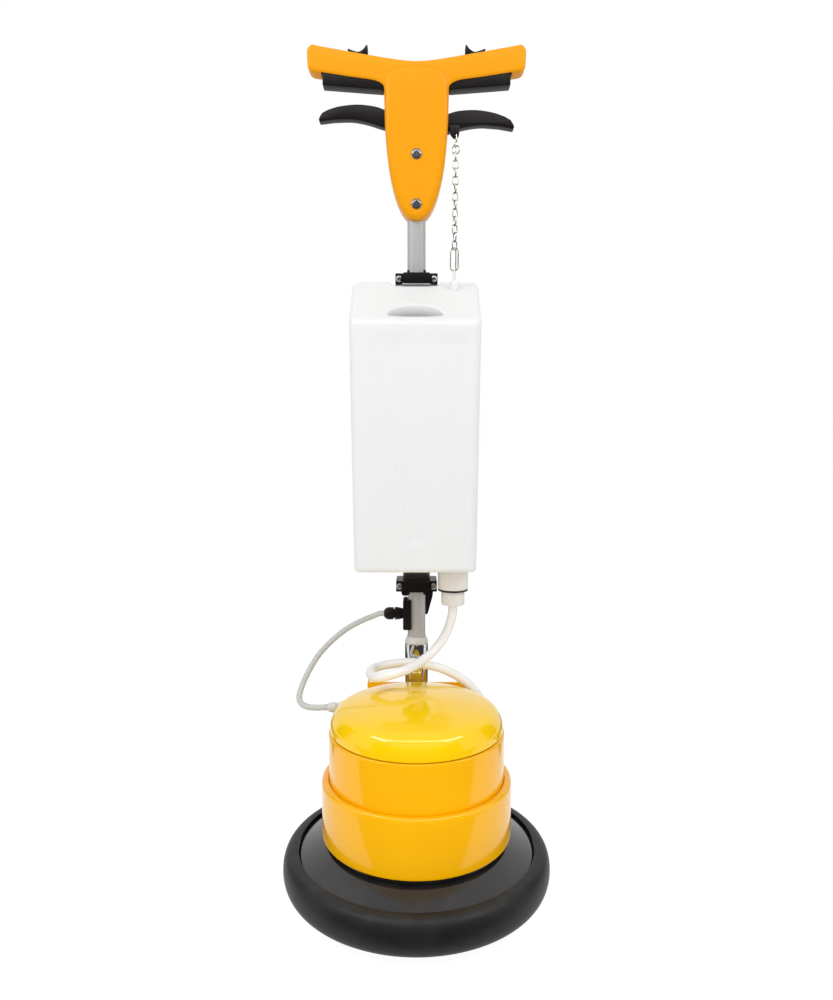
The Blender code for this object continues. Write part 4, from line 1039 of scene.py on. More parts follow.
@dataclass
class Studio:
    """Camera, pale floor and soft lamps."""

    eye: Triple = (0.0, -1.191, 0.725)
    pitch: float = 4.774  # degrees below level
    lens: float = 27.36
    floor_size: float = 14.0
    floor_tone: float = 0.90
    glow: float = 1.1  # strength of the floor's glow, which only backgrounds and mirrors show
    glow_share: float = 0.86  # its share there; the rest keeps the machine's shadow
    box_size: Pair = (0.9, 0.24)
    flag_reach: float = 3.6
    flag_tall: float = 3.6
    flag_middle: float = 1.0
    flags: tuple[Pair, ...] = (  # azimuth and width of each
        (-45, 1.93), (-15, 1.93), (15, 1.93), (45, 1.93), (-112, 1.6), (112, 1.6),
    )
    low_lift: float = 0.004
    low_cards: tuple[tuple[str, Pair, Pair], ...] = (  # name, middle and size of each
        ("left", (-0.95, 0.95), (0.9, 1.2)), ("right", (0.95, 0.95), (0.9, 1.2)),
        ("front", (0.0, -1.42), (4.4, 2.36)),
    )
    world_strength: float = 0.56

    def camera(self) -> None:
        """Adds the camera."""
        data = bpy.data.cameras.new("camera")
        data.lens = self.lens
        data.clip_start = 0.02
        viewer = bpy.data.objects.new("camera", data)
        viewer.location = self.eye
        viewer.rotation_euler = (math.radians(90 - self.pitch), 0, 0)
        bpy.context.scene.collection.objects.link(viewer)
        bpy.context.scene.camera = viewer

    def lamp(
        self, name: str, place: Triple, target: Triple, size: Pair, power: float, mirrored: bool = True,
        lights: bool = True,
    ) -> None:
        """Adds one soft lamp.

        Args:
            name: Its name.
            place: Where it hangs.
            target: What it points at.
            size: Its width and height.
            power: Its power in watts.
            mirrored: Whether shiny faces mirror it.
            lights: Whether it lights what it shines on.
        """
        data = bpy.data.lights.new(name, "AREA")
        data.shape = "RECTANGLE"
        data.size, data.size_y = size
        data.energy = power
        thing = bpy.data.objects.new(name, data)
        thing.visible_glossy = mirrored
        thing.visible_diffuse = lights
        thing.location = place
        thing.rotation_euler = (Vector(target) - Vector(place)).to_track_quat("-Z", "Y").to_euler()
        bpy.context.scene.collection.objects.link(thing)

    def sheet(self, name: str, place: Matrix, cover: bpy.types.Material) -> bpy.types.Object:
        """Adds a flat sheet of one metre by one, placed and sized by a matrix, to the studio.

        Args:
            name: Its name.
            place: Where it goes.
            cover: Its material.

        Returns:
            The new object.
        """
        form = bmesh.new()
        bmesh.ops.create_grid(form, x_segments=1, y_segments=1, size=0.5, matrix=place)
        mesh = bpy.data.meshes.new(name)
        form.to_mesh(mesh)
        form.free()
        mesh.materials.append(cover)
        sheet = bpy.data.objects.new(name, mesh)
        bpy.context.scene.collection.objects.link(sheet)
        return sheet

    def floor(self) -> None:
        """Adds the floor, which shows white to the camera apart from the machine's shadow."""
        paper = bpy.data.materials.new("white_paper")
        paper.use_nodes = True
        tree = paper.node_tree
        shader = tree.nodes["Principled BSDF"]
        shader.inputs["Base Color"].default_value = (*[self.floor_tone] * 3, 1)
        shader.inputs["Roughness"].default_value = 0.9
        glow = add_node(tree, "Emission")
        glow.inputs["Color"].default_value = (1, 1, 1, 1)
        glow.inputs["Strength"].default_value = self.glow
        blend = add_node(tree, "MixShader")
        share = worked(tree, "MULTIPLY", seen_rays(tree), self.glow_share)
        tree.links.new(share, blend.inputs["Fac"])
        tree.links.new(shader.outputs["BSDF"], blend.inputs[1])
        tree.links.new(glow.outputs["Emission"], blend.inputs[2])
        tree.links.new(blend.outputs["Shader"], tree.nodes["Material Output"].inputs["Surface"])
        self.sheet("floor", Matrix.Diagonal((self.floor_size, self.floor_size, 1, 1)), paper)

    def flag(self, name: str, azimuth: float, wide: float) -> None:
        """Stands up a dark card that only shows as a streak in shiny faces.

        Args:
            name: Its name.
            azimuth: Where it stands, in degrees from the camera's side towards the right.
            wide: Its width.
        """
        around = math.radians(azimuth)
        reach = self.flag_reach
        place = (math.sin(around) * reach, -math.cos(around) * reach, self.flag_middle)
        turn = Matrix.Rotation(around, 4, "Z") @ Matrix.Rotation(math.pi / 2, 4, "X")
        self.card(name, Matrix.Translation(place) @ turn @ Matrix.Diagonal((wide, self.flag_tall, 1, 1)))

    def card(self, name: str, place: Matrix) -> None:
        """Adds a dark card of one metre by one, placed and sized by a matrix.

        Args:
            name: Its name.
            place: Where it goes.
        """
        cloth = bpy.data.materials.get("dark_cloth") or bpy.data.materials.new("dark_cloth")
        cloth.use_nodes = True
        shader = cloth.node_tree.nodes["Principled BSDF"]
        shader.inputs["Base Color"].default_value = (0.02, 0.02, 0.02, 1)
        shader.inputs["Roughness"].default_value = 1.0
        card = self.sheet(name, place, cloth)
        for ray in ("camera", "diffuse", "shadow", "transmission", "volume_scatter"):
            setattr(card, f"visible_{ray}", False)

    def world(self) -> None:
        """Sets a plain world that looks white and lights softly."""
        world = bpy.data.worlds.new("studio")
        bpy.context.scene.world = world
        world.use_nodes = True
        tree = world.node_tree
        tree.nodes["Background"].inputs["Color"].default_value = (1, 1, 1, 1)
        tree.nodes["Background"].inputs["Strength"].default_value = self.world_strength
        white = add_node(tree, "Background")
        white.inputs["Color"].default_value = (1, 1, 1, 1)
        white.inputs["Strength"].default_value = 1.0
        blend = add_node(tree, "MixShader")
        tree.links.new(seen_rays(tree), blend.inputs["Fac"])
        tree.links.new(tree.nodes["Background"].outputs["Background"], blend.inputs[1])
        tree.links.new(white.outputs["Background"], blend.inputs[2])
        tree.links.new(blend.outputs["Shader"], tree.nodes["World Output"].inputs["Surface"])

    def build(self) -> None:
        """Adds everything."""
        bpy.context.scene.view_settings.view_transform = "Standard"
        self.camera()
        self.floor()
        self.world()
        self.lamp("left_box", (-1.5, -0.7, 2.2), (0, 0, 0.4), self.box_size, 13)
        self.lamp("right_box", (1.5, -0.7, 2.2), (0, 0, 0.4), self.box_size, 11)
        self.lamp("top_strip", (0, -1.0, 2.3), (0, 0, 0.2), (2.6, 0.09), 15, lights=False)
        self.lamp("front_box", (0, -3.2, 1.5), (0, 0, 0.7), (3.2, 2.6), 41, mirrored=False)
        for number, (azimuth, wide) in enumerate(self.flags):
            self.flag(f"flag_{number}", azimuth, wide)
        for name, middle, size in self.low_cards:
            place = Matrix.Translation((*middle, self.low_lift))
            self.card(f"low_card_{name}", place @ Matrix.Diagonal((*size, 1, 1)))
        LOG.info("studio ready")


def seen_rays(tree: Tree) -> Socket:
    """A mask of the rays that show a background: camera, glossy and transmission rays.

    Args:
        tree: The tree it is built in.

    Returns:
        The mask's socket.
    """
    rays = add_node(tree, "LightPath").outputs
    seen = worked(tree, "MAXIMUM", rays["Is Camera Ray"], rays["Is Glossy Ray"])
    return worked(tree, "MAXIMUM", seen, rays["Is Transmission Ray"])


# ---------------------------------------------------------------- disc and drum


@dataclass
class Disc:
    """Bumper, deck and floor pad."""

    bumper_r: float = 0.215
    bumper_low: float = 0.010
    bumper_top: float = 0.068
    bumper_in: float = 0.1945
    bumper_round: float = 0.0215
    bumper_square: Pair = (0.82, 0.92)  # powers that draw its round section towards a square
    deck_r: float = 0.1941
    deck_hole: float = 0.0832
    deck_thick: float = 0.006
    deck_rim: float = 0.062
    deck_crown: float = 0.068
    seat_r: float = 0.144
    seat_top: float = 0.088
    seat_wide: float = 0.016
    deck_inner: float = 0.0815
    flat_back: float = 0.1409  # the seat ring stops at the rear bracket's face
    pad_r: float = 0.184
    pad_thick: float = 0.0155

    def bumper(self) -> None:
        """A soft-cornered rubber ring with a lip over the deck's rim."""
        middle = (self.bumper_low + self.bumper_top) / 2
        half = (self.bumper_top - self.bumper_low) / 2
        r, steps, turn = self.bumper_round, 24, 96
        outside = []
        for step in range(steps + 1):
            angle = math.radians(-turn + 2 * turn * step / steps)
            across = math.copysign(abs(math.cos(angle)) ** self.bumper_square[0], math.cos(angle))
            up = math.copysign(abs(math.sin(angle)) ** self.bumper_square[1], math.sin(angle))
            outside.append((self.bumper_r - r + r * across, middle + half * up))
        lip = [
            (self.bumper_in - 0.0004, self.bumper_top - 0.0018),
            (self.bumper_in - 0.0012, self.bumper_top - 0.0032),
            (self.bumper_in - 0.0004, self.deck_rim + 0.0024),
            (self.bumper_in, self.deck_rim + 0.0014),
            (self.bumper_in, self.deck_rim - 0.0064), (self.bumper_in - 0.0070, self.deck_rim - 0.0064),
            (self.bumper_in - 0.0072, self.bumper_low + 0.004),
        ]
        form = spun([*outside, *lip], AROUND, ring=True)
        publish("bumper_ring", form, RUBBER, Rides.BASE, ["bumper"], math.radians(40))

    def deck(self) -> None:
        """The enamelled plate under the drum, with its turned-down rim and raised seat."""
        r, rim, crown, thick = self.deck_r, self.deck_rim, self.deck_crown, self.deck_thick
        hole, seat, seat_in = self.deck_hole, self.seat_r, self.seat_r - self.seat_wide
        profile = eased([
            (hole, crown - thick, 0), (r - 0.0166, crown - thick, 0), (r - 0.0056, rim - thick, 0.002),
            (r, rim - thick, 0), (r, rim + 0.0006, 0.0008), (r - 0.0019, rim + 0.0018, 0.0006),
            (r - 0.0041, rim + 0.0010, 0.0008), (r - 0.0126, crown - 0.001, 0.004),
            (seat + 0.0040, self.deck_inner, 0.0030), (seat, self.deck_inner + 0.0006, 0.0012),
            (seat - 0.0008, self.seat_top, 0.0012), (seat_in, self.seat_top, 0.001), (seat_in, crown, 0),
            (hole, crown, 0),
        ], closed=True)
        form = spun(profile, AROUND, ring=True)
        for vert in form.verts:
            if vert.co.y > self.flat_back and vert.co.z > crown:
                vert.co.z = crown
        publish("deck_plate", form, DECK, Rides.BASE, ["deck"])

    def pad(self) -> None:
        """The floor pad, with a ragged fibre edge."""
        r, thick, ragged = self.pad_r, self.pad_thick, 0.0004
        form = spun([(0, 0), (r - 0.003, 0), (r, 0.002), (r, thick), (0, thick)], AROUND)
        for number, vert in enumerate(form.verts):
            if math.hypot(vert.co.x, vert.co.y) > r - 0.001:
                angle = math.atan2(vert.co.y, vert.co.x)
                loose = ragged * (math.sin(angle * 47) + math.sin(angle * 31 + number % 7))
                drawn_in = 1 - (4 * ragged + loose) / r
                vert.co.x *= drawn_in
                vert.co.y *= drawn_in
        publish("fibre_pad", form, PAD, Rides.BRUSH, ["floor_pad"])

    def build(self) -> None:
        """Builds the disc."""
        self.bumper()
        self.deck()
        self.pad()


@dataclass
class Drum:
    """The three painted covers over the motor."""

    skirt_r: float = 0.1524
    skirt_low: float = 0.0900
    skirt_top: float = 0.1810
    casing_r: float = 0.1405
    casing_top: float = 0.2570
    dome_r: float = 0.1382
    dome_top: float = 0.3095
    dome_gap: float = 0.0008
    shell: float = 0.0028
    gland: Triple = (-0.1290, 0.0600, 0.2690)
    boss_r: float = 0.0105
    boss_root: float = 0.1120

    def skirt(self) -> None:
        """The wide lower cover with its rolled shoulder."""
        neck = self.casing_r + 0.0004
        r, top, low, wall = self.skirt_r, self.skirt_top, self.skirt_low, self.shell
        form = spun(eased([
            (r - wall, low, 0), (r - 0.0006, low, 0.0006), (r, low + 0.002, 0.001), (r, top, 0.0085),
            (neck + 0.0015, top + 0.0006, 0.0020), (neck, top - 0.0010, 0.0004), (neck, top - wall, 0),
            (r - wall, top - wall, 0.004),
        ], closed=True, steps=8), AROUND, ring=True)
        publish("skirt_shell", form, YELLOW, Rides.BASE, ["drum_skirt"])

    def casing(self) -> None:
        """The middle cover, rolled in at its top where the dome's rim stands."""
        r, top, wall = self.casing_r, self.casing_top, self.shell
        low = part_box("motor_casing")[0].z
        form = spun(eased([
            (r - wall, low, 0), (r, low, 0), (r, top - 0.0004, 0.0034), (r - 0.0044, top + 0.0001, 0.0008),
            (r - 0.0048, top - 0.003, 0), (r - wall, top - 0.006, 0),
        ], closed=True, steps=6), AROUND, ring=True)
        publish("casing_shell", form, YELLOW, Rides.BASE, ["motor_casing"])

    def dome_outline(self) -> list[Pair]:
        """Draws the outside of the dome.

        Returns:
            Its profile from its rim to its middle.
        """
        r, rim, top = self.dome_r, self.casing_top + self.dome_gap, self.dome_top
        return eased([
            (r - 0.0016, rim, 0), (r, rim + 0.0016, 0.0012), (r, rim + 0.0150, 0.0080),
            (r - 0.0115, rim + 0.0340, 0.0130), (r - 0.0420, rim + 0.0425, 0.0150),
            (r - 0.0800, rim + 0.0485, 0.0180), (0.0200, top, 0.0150), (0, top, 0),
        ], steps=8)

    def dome(self) -> None:
        """The dome with its inside and the boss that the cable's gland screws into."""
        outside = self.dome_outline()
        inside = [(max(0.0, r - self.shell), z - self.shell * 0.9) for r, z in outside[3:-1]]
        rim = (self.dome_r - self.shell, self.casing_top + self.dome_gap)
        form = spun([*outside, (0, self.dome_top - self.shell), *reversed(inside), rim], AROUND)
        r, root, end = self.boss_r, self.boss_root, -self.gland[0] - 0.0004
        boss = spun(eased([
            (0, root, 0), (r + 0.003, root, 0), (r + 0.0005, root + 0.010, 0.003), (r, end, 0.0012),
            (0, end, 0),
        ]), SMALL)
        whole = joined(form, aimed(boss, (-1, 0, 0), (0, self.gland[1], self.gland[2])))
        # the dome's yellow is the casing's paint made lighter: painted light
        publish("dome_shell", whole, LIT_YELLOW, Rides.BASE, ["dome_cover"])

    def build(self) -> None:
        """Builds the covers."""
        self.skirt()
        self.casing()
        self.dome()


@dataclass
class Undercarriage:
    """Rear bracket, tilt pivot, axle and wheels."""

    axle_y: float = 0.2450
    axle_z: float = 0.0485
    wheel_r: float = 0.0450
    tread_in: float = 0.0920
    tread_out: float = 0.1160
    bore_r: float = 0.0063
    axle_r: float = 0.0058
    axle_slack: float = 0.0004

    def wheel(self, side: Side, rides: Rides) -> None:
        """One rubber wheel with a dished face and a moulded hub.

        Args:
            side: Its side.
            rides: Its body.
        """
        r, near, far = self.wheel_r, self.tread_in, self.tread_out
        face = (  # radius, depth in from the face and rounding, from the bore to the tread
            (self.bore_r, 0, 0), (0.0130, 0, 0.0008), (0.0140, 0.0040, 0.001), (0.0290, 0.0042, 0.0015),
            (0.0310, 0.0006, 0.001), (r - 0.004, 0, 0.002), (r, 0.005, 0.003),
        )
        form = spun(eased([
            *((radius, near + deep, size) for radius, deep, size in face),
            *((radius, far - deep, size) for radius, deep, size in reversed(face)),
        ], closed=True, steps=4), FINE, ring=True)
        aimed(form, (side.value, 0, 0), (0, self.axle_y, self.axle_z))
        publish(f"{side.word}_tyre", form, TYRE, rides, [f"wheel_{side.word}"])

    def build(self) -> None:
        """Builds the bracket, the pivot and the wheels."""
        refine("rear_bracket", YELLOW, Rides.BASE, 0.0012, 3)
        self.wheel(Side.LEFT, Rides.LEFT_WHEEL)
        self.wheel(Side.RIGHT, Rides.RIGHT_WHEEL)
        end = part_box("wheel_axle")[1].x
        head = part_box("wheel_axle")[1].z - self.axle_z
        seat = self.tread_out + self.axle_slack
        form = spun(eased([
            (0, -end, 0), (head, -end, 0.0016), (head, -seat, 0), (self.axle_r, -seat, 0),
            (self.axle_r, seat, 0), (head, seat, 0), (head, end, 0.0016), (0, end, 0),
        ]), SMALL)
        aimed(form, (1, 0, 0), (0, self.axle_y, self.axle_z))
        publish("axle_rod", form, STEEL, Rides.BASE, ["wheel_axle"])
        refine("pivot_shaft", STEEL, Rides.BASE, 0.0005, 2)


# ---------------------------------------------------------------- pole


@dataclass
class Pole:
    """Chrome stem, bush and tube."""

    y: float = 0.1680
    tube_r: float = 0.0160
    tube_low: float = 0.3000
    tube_top: float = 1.3000
    wall: float = 0.0016
    stem_r: float = 0.0210
    stem_top: float = 0.3520
    sleeve_low: float = 0.1790
    rivet_r: float = 0.0024
    rivet_place: Triple = (0.0172, -0.0110, -0.0050)  # from the pole's axis at the stem's top
    rivet_way: Triple = (0.82, -0.55, 0)
    bush_top: float = 0.3640

    def turned(self, name: str, nodes: list[str], profile: list[Pair], finish: Finish, ring: bool) -> None:
        """A piece turned round the pole's axis."""
        form = aimed(spun(profile, FINE, ring), (0, 0, 1), (0, self.y, 0))
        publish(name, form, finish, Rides.POLE, nodes)

    def stem(self) -> None:
        """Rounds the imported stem's edges and lays a fine chrome sleeve over its round part."""
        refine("chrome_stem", CHROME, Rides.POLE, 0.0005, 2)
        r, low, top = self.stem_r + 0.0001, self.sleeve_low, self.stem_top + 0.0001
        self.turned("stem_sleeve", [], eased([
            (r - 0.0013, low, 0), (r, low, 0.0005), (r, top, 0.0012), (r - 0.0033, top, 0),
        ], closed=True), CHROME, True)
        x, y, z = self.rivet_place
        for side in Side:
            r = self.rivet_r
            head = spun(eased([(0, 0, 0), (r, 0, 0), (r, 0.0010, 0.0009), (0, 0.0014, 0)]), 20)
            way = Vector((side.value * self.rivet_way[0], *self.rivet_way[1:])).normalized()
            aimed(head, way, (side.value * x, self.y + y, self.stem_top + z))
            publish(f"stem_rivet_{side.word}", head, STEEL, Rides.POLE)

    def build(self) -> None:
        """Builds the pole."""
        self.stem()
        r, wall = self.tube_r, self.wall
        self.turned("pole_sleeve", ["pole_tube"], [
            (r - wall, self.tube_low), (r, self.tube_low), (r, self.tube_top), (r - wall, self.tube_top),
        ], TUBE, True)
        inner, outer = r + 0.0003, self.stem_r + 0.0002
        top, low = self.bush_top, self.stem_top + 0.0003
        self.turned("pole_collar", ["pole_bush"], eased([
            (inner, low, 0), (outer, low, 0.0004), (outer, low + 0.0035, 0.0012), (r + 0.0012, top, 0.0006),
            (inner, top, 0),
        ], closed=True), PALE, True)


# ---------------------------------------------------------------- tank


@dataclass
class Tank:
    """Blow-moulded water tank with a slanted top, an open mouth and an outlet neck."""

    x: float = -0.0020
    front: float = 0.0220
    rear: float = 0.1470
    low: float = 0.5050
    front_top: float = 0.9070
    rear_top: float = 0.9930
    top_half: float = 0.1050
    low_half: float = 0.0985
    rear_half: float = 0.1075
    corner: float = 0.0130
    wall: float = 0.0032
    roll: float = 0.0080
    mouth_r: float = 0.0462
    mouth_deep: float = 0.0385
    mouth_up: float = 0.0215
    mouth_front: float = 0.0090
    mouth_rows: int = 17
    mouth_square: float = 0.75  # power that draws the front of the mouth towards a rectangle
    lip: tuple[Pair, ...] = (  # how far inside the mouth and under the top each row of its lip lies
        (0.0009, 0.0002), (0.0018, 0.0012), (0.0021, 0.0026), (0.0021, 0.0240),
    )
    notch_half: float = 0.0400
    notch_fade: float = 0.0120
    notch_floor: float = 0.9812
    neck: Pair = (0.0635, 0.1180)
    neck_r: float = 0.0265
    neck_low: float = 0.4610
    neck_bore: float = 0.0190
    guide_r: float = 0.0072
    guide_bore: float = 0.0034
    guide_low: float = 0.9480
    plug_r: float = 0.0150
    rod_r: float = 0.0028
    panel_top: float = 0.8900
    panel_low: float = 0.5520
    panel_deep: float = 0.0017
    panel_edge: float = 0.0045
    panel_fade: float = 0.0220
    wedge: Triple = (0.0105, 0.0740, 1.08)  # the panel's half width: at its foot, growth and its power
    levels: int = 110
    columns: int = 79  # cuts along the foot's front and its back
    ranks: int = 23  # cuts along each of its sides

    def crest(self, x: float, y: float) -> float:
        """Height of the slanted top, with the notch behind the upper clamp.

        Args:
            x: Distance to the right of the tank's middle.
            y: The point's Y.

        Returns:
            The height above the floor.
        """
        share = (y - self.front) / (self.rear - self.front)
        slope = self.front_top + (self.rear_top - self.front_top) * share
        notched = gentle(0.5 + (self.notch_half - abs(x)) / self.notch_fade)
        return slope - notched * max(0.0, slope - self.notch_floor)

    def panel(self, x: float, z: float) -> float:
        """How far the front is pressed in at a point: a long wedge with a round foot.

        Args:
            x: The point's X.
            z: Its height.

        Returns:
            The depth there.
        """
        share = max(0.0, (z - self.panel_low) / (self.panel_top - self.panel_low))
        narrow, growth, power = self.wedge
        half = narrow + growth * share**power
        away = max(abs(x - 0.0010 - 0.0040 * share) - half, self.panel_low - z)
        fading = gentle((self.panel_top - z) / self.panel_fade)
        return self.panel_deep * gentle(0.5 - away / self.panel_edge) * fading

    def foot(self, form: Shape) -> list[Edge]:
        """The rounded outline of the tank, as one face with short edges.

        Args:
            form: The shape that gets it.

        Returns:
            The outline's edges.
        """
        corners = (
            (-self.low_half, self.front), (self.low_half, self.front),
            (self.rear_half, self.rear), (-self.rear_half, self.rear),
        )
        verts = [form.verts.new((x, y, 0)) for x, y in corners]
        form.faces.new(verts)
        bmesh.ops.bevel(
            form, geom=verts, offset=self.corner, segments=8, profile=0.5, affect="VERTICES", material=-1,
        )
        for edge in [e for e in form.edges if e.calc_length() > 2 * self.corner]:
            across = abs(edge.verts[0].co.y - edge.verts[1].co.y) < LEVEL
            bmesh.ops.subdivide_edges(form, edges=[edge], cuts=self.columns if across else self.ranks)
        return list(form.edges)

    def rows(self) -> list[tuple[float, float, float]]:
        """Places every row of the walls, from the foot to the top.

        Returns:
            Each row's inset, its share of the height and its rise on top of that.
        """
        roll, steps = self.roll, 6
        turns = [math.pi / 2 * k / steps for k in range(1, steps + 1)]
        made = [(roll * (1 - math.sin(a)), 0.0, roll * (1 - math.cos(a))) for a in turns]
        made += [(0.0, k / self.levels, roll) for k in range(1, self.levels + 1)]
        made += [(roll * (1 - math.cos(a)), 1.0, roll * (1 + math.sin(a))) for a in turns]
        return made

    def walls(self, form: Shape, foot: list[Edge]) -> list[Edge]:
        """Draws the walls up from the foot, with rolled edges below and above.

        Args:
            form: The shape.
            foot: The foot's edges.

        Returns:
            The edges of the walls' top.
        """
        spot = form.verts.layers.int["spot"]
        home: list[tuple[Vector, Vector]] = []
        for vert in form.verts:
            vert[spot] = len(home)
            around = [edge.other_vert(vert).co.xy for edge in vert.link_edges]
            line = (around[0] - around[1]).normalized()
            out = Vector((line.y, -line.x))
            if out.dot(vert.co.xy - Vector((0, (self.front + self.rear) / 2))) < 0:
                out = -out
            home.append((vert.co.xy.copy(), out))

        def put(vert: Vert, inset: float, up: float, rise: float) -> None:
            """Moves a vertex to its place in a row.

            Args:
                vert: The vertex.
                inset: The row's inset.
                up: Its share of the height.
                rise: Its rise on top of that.
            """
            base, out = home[vert[spot]]
            back = (base.y - self.front) / (self.rear - self.front)
            low_half = self.low_half + (self.rear_half - self.low_half) * back
            top_half = self.top_half + (self.rear_half - self.top_half) * back
            x = base.x * (low_half + (top_half - low_half) * up) / low_half - out.x * inset
            y = base.y - out.y * inset
            tall = self.crest(x, y) - self.low - 2 * self.roll
            z = self.low + rise + up * tall
            vert.co = (self.x + x, y, z)

        edges = foot
        first = list(form.verts)
        for inset, up, rise in self.rows():
            edges, verts = grown(form, edges)
            for vert in verts:
                put(vert, inset, up, rise)
        for vert in first:
            put(vert, self.roll, 0.0, 0.0)
        return edges

    def tilt(self) -> float:
        """Slope of the slanted top in radians."""
        return math.atan2(self.rear_top - self.front_top, self.rear - self.front)

    def mouth_place(self, angle: float, shrink: float, sink: float) -> Vector:
        """A point of the mouth, which is round behind and nearly straight along the front edge.

        Args:
            angle: Angle round the mouth in radians.
            shrink: How far inside the mouth's outline the point lies.
            sink: How deep under the slanted top it lies.

        Returns:
            The point.
        """
        c, s = math.cos(angle), math.sin(angle)
        r = self.mouth_r - shrink
        if s >= 0:
            across, along = r * c, (self.mouth_deep - shrink) * s
        else:
            across = r * math.copysign(abs(c) ** self.mouth_square, c)
            along = -(self.mouth_front - shrink) * abs(s) ** self.mouth_square
        tilt, far = self.tilt(), self.mouth_up + along
        return Vector((
            self.x + across, self.front + far * math.cos(tilt),
            self.front_top + far * math.sin(tilt) - sink,
        ))

    def mouth(self, form: Shape, top: list[Edge]) -> None:
        """Closes the slanted top round the mouth and turns the mouth's lip inwards.

        Args:
            form: The shape.
            top: The edges of the walls' top.
        """
        angle, rim = form.verts.layers.float["angle"], form.verts.layers.float_vector["rim"]
        for vert in {vert for edge in top for vert in edge.verts}:
            along = (vert.co.y - self.front) / math.cos(self.tilt()) - self.mouth_up
            reach = self.mouth_deep if along >= 0 else self.mouth_front
            vert[angle] = math.atan2(along / reach, (vert.co.x - self.x) / self.mouth_r)
            vert[rim] = vert.co
        edges = top
        for number in range(1, self.mouth_rows + 1):
            edges, verts = grown(form, edges)
            for vert in verts:
                spot = vert[rim].lerp(self.mouth_place(vert[angle], 0.0, 0.0), number / self.mouth_rows)
                vert.co = (spot.x, spot.y, self.crest(spot.x - self.x, spot.y))
        for shrink, sink in self.lip:
            edges, verts = grown(form, edges)
            for vert in verts:
                vert.co = self.mouth_place(vert[angle], shrink, sink)

    def shell(self) -> None:
        """The moulded body with its mouth open."""
        form = bmesh.new()
        form.verts.layers.int.new("spot")
        form.verts.layers.float.new("angle")
        form.verts.layers.float_vector.new("rim")
        foot = self.foot(form)
        self.mouth(form, self.walls(form, foot))
        bmesh.ops.recalc_face_normals(form, faces=form.faces)
        foremost = min(form.faces, key=lambda face: face.calc_center_median().y)
        if foremost.normal.y > 0:
            bmesh.ops.reverse_faces(form, faces=form.faces)
        for vert in form.verts:
            if vert.co.y < self.front + LEVEL:
                vert.co.y += self.panel(vert.co.x, vert.co.z)
        piece = publish("tank_body", form, TANK, Rides.POLE, ["water_tank"], ROUND)
        thick = piece.modifiers.new("wall", "SOLIDIFY")
        thick.thickness = self.wall
        thick.offset = -1

    def fittings(self) -> None:
        """Outlet neck, seal, nut and the rod's guide."""
        r, low, foot, bore = self.neck_r, self.neck_low, self.low, self.neck_bore
        self.turned("outlet_neck", [
            (bore, low, 0), (r - 0.0008, low, 0.0008), (r, low + 0.003, 0.001), (r, foot - 0.002, 0),
            (r + 0.004, foot + 0.003, 0), (bore, foot + 0.003, 0),
        ], OUTLET)
        low, high = (corner.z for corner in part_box("neck_seal"))
        self.turned("outlet_gasket", [
            (0.0080, low, 0), (r - 0.0004, low, 0.001), (r - 0.0004, high, 0.001), (0.0080, high, 0),
        ], SEAL, nodes=["neck_seal"])
        self.nut()
        low, top, r, bore = self.guide_low, self.rear_top - 0.007, self.guide_r, self.guide_bore
        self.turned("rod_guide", [
            (bore, low, 0), (r, low, 0), (r, top - 0.004, 0.0008), (r - 0.0008, top, 0.0010),
            (bore, top, 0),
        ], TANK, steps=SMALL)
        low, top = self.neck_low + 0.0065, self.rear_top + 0.010
        rod = spun(eased([
            (0, low, 0), (self.plug_r, low, 0.001), (self.plug_r, low + 0.0115, 0.003),
            (self.rod_r, low + 0.0175, 0.001), (self.rod_r, top, 0.0006), (0, top, 0),
        ]), SMALL)
        publish("plug_rod", aimed(rod, (0, 0, 1), (*self.neck, 0)), OUTLET, Rides.WATER_PULL, ["valve_rod"])

    def turned(
        self, name: str, profile: list[Triple], finish: Finish, nodes: Sequence[str] = (),
        steps: int = FINE,
    ) -> None:
        """Publishes a ring turned round the outlet's axis.

        Args:
            name: Its name.
            profile: Its closed profile, with the rounding of each corner.
            finish: Its finish.
            nodes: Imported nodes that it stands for.
            steps: Steps round.
        """
        form = spun(eased(profile, closed=True), steps, ring=True)
        publish(name, aimed(form, (0, 0, 1), (*self.neck, 0)), finish, Rides.POLE, nodes)

    def nut(self) -> None:
        """The outlet's nut, with eight shallow finger grooves."""
        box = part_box("outlet_nut")
        radius = (box[1].x - box[0].x) / 2
        low, high, bore = box[0].z, box[1].z, 0.0082
        nut = spun(eased([
            (bore, low + 0.003, 0), (0.0120, low, 0.001), (radius - 0.001, low, 0.0012),
            (radius, low + 0.004, 0), (radius, high - 0.004, 0), (radius - 0.0006, high, 0.0006),
            (bore, high, 0),
        ], closed=True), NUT_STEPS, ring=True)
        grooved(nut, radius - 0.0002, radius, 0.0016, 8, 6)
        aimed(nut, (0, 0, 1), (*self.neck, 0))
        publish("outlet_cap_nut", nut, OUTLET, Rides.POLE, ["outlet_nut"])

    def build(self) -> None:
        """Builds the tank and its fittings."""
        self.shell()
        self.fittings()


# ---------------------------------------------------------------- fittings on the pole


def cross_head(radius: float, tall: float, shank: float, length: float) -> Shape:
    """A pan-head screw along Z with a cross recess; its seat is at 0 and its head points down.

    Args:
        radius: The head's radius.
        tall: The head's height.
        shank: The shank's radius.
        length: The shank's length.

    Returns:
        The closed shape.
    """
    screw = spun(eased([
        (0, -tall, 0), (radius * 0.62, -tall * 0.97, radius * 0.2), (radius, -tall * 0.35, radius * 0.22),
        (radius, 0, 0), (shank, 0, 0), (shank, length, 0), (0, length, 0),
    ]), SMALL)
    arm, deep = radius * 0.52, tall * 0.55
    thin = radius * 0.12
    first = block((-arm, -thin, -tall - 0.001), (arm, thin, -tall + deep))
    second = block((-thin, -arm, -tall - 0.001), (thin, arm, -tall + deep))
    return combined(screw, combined(first, second, Merge.UNITE))


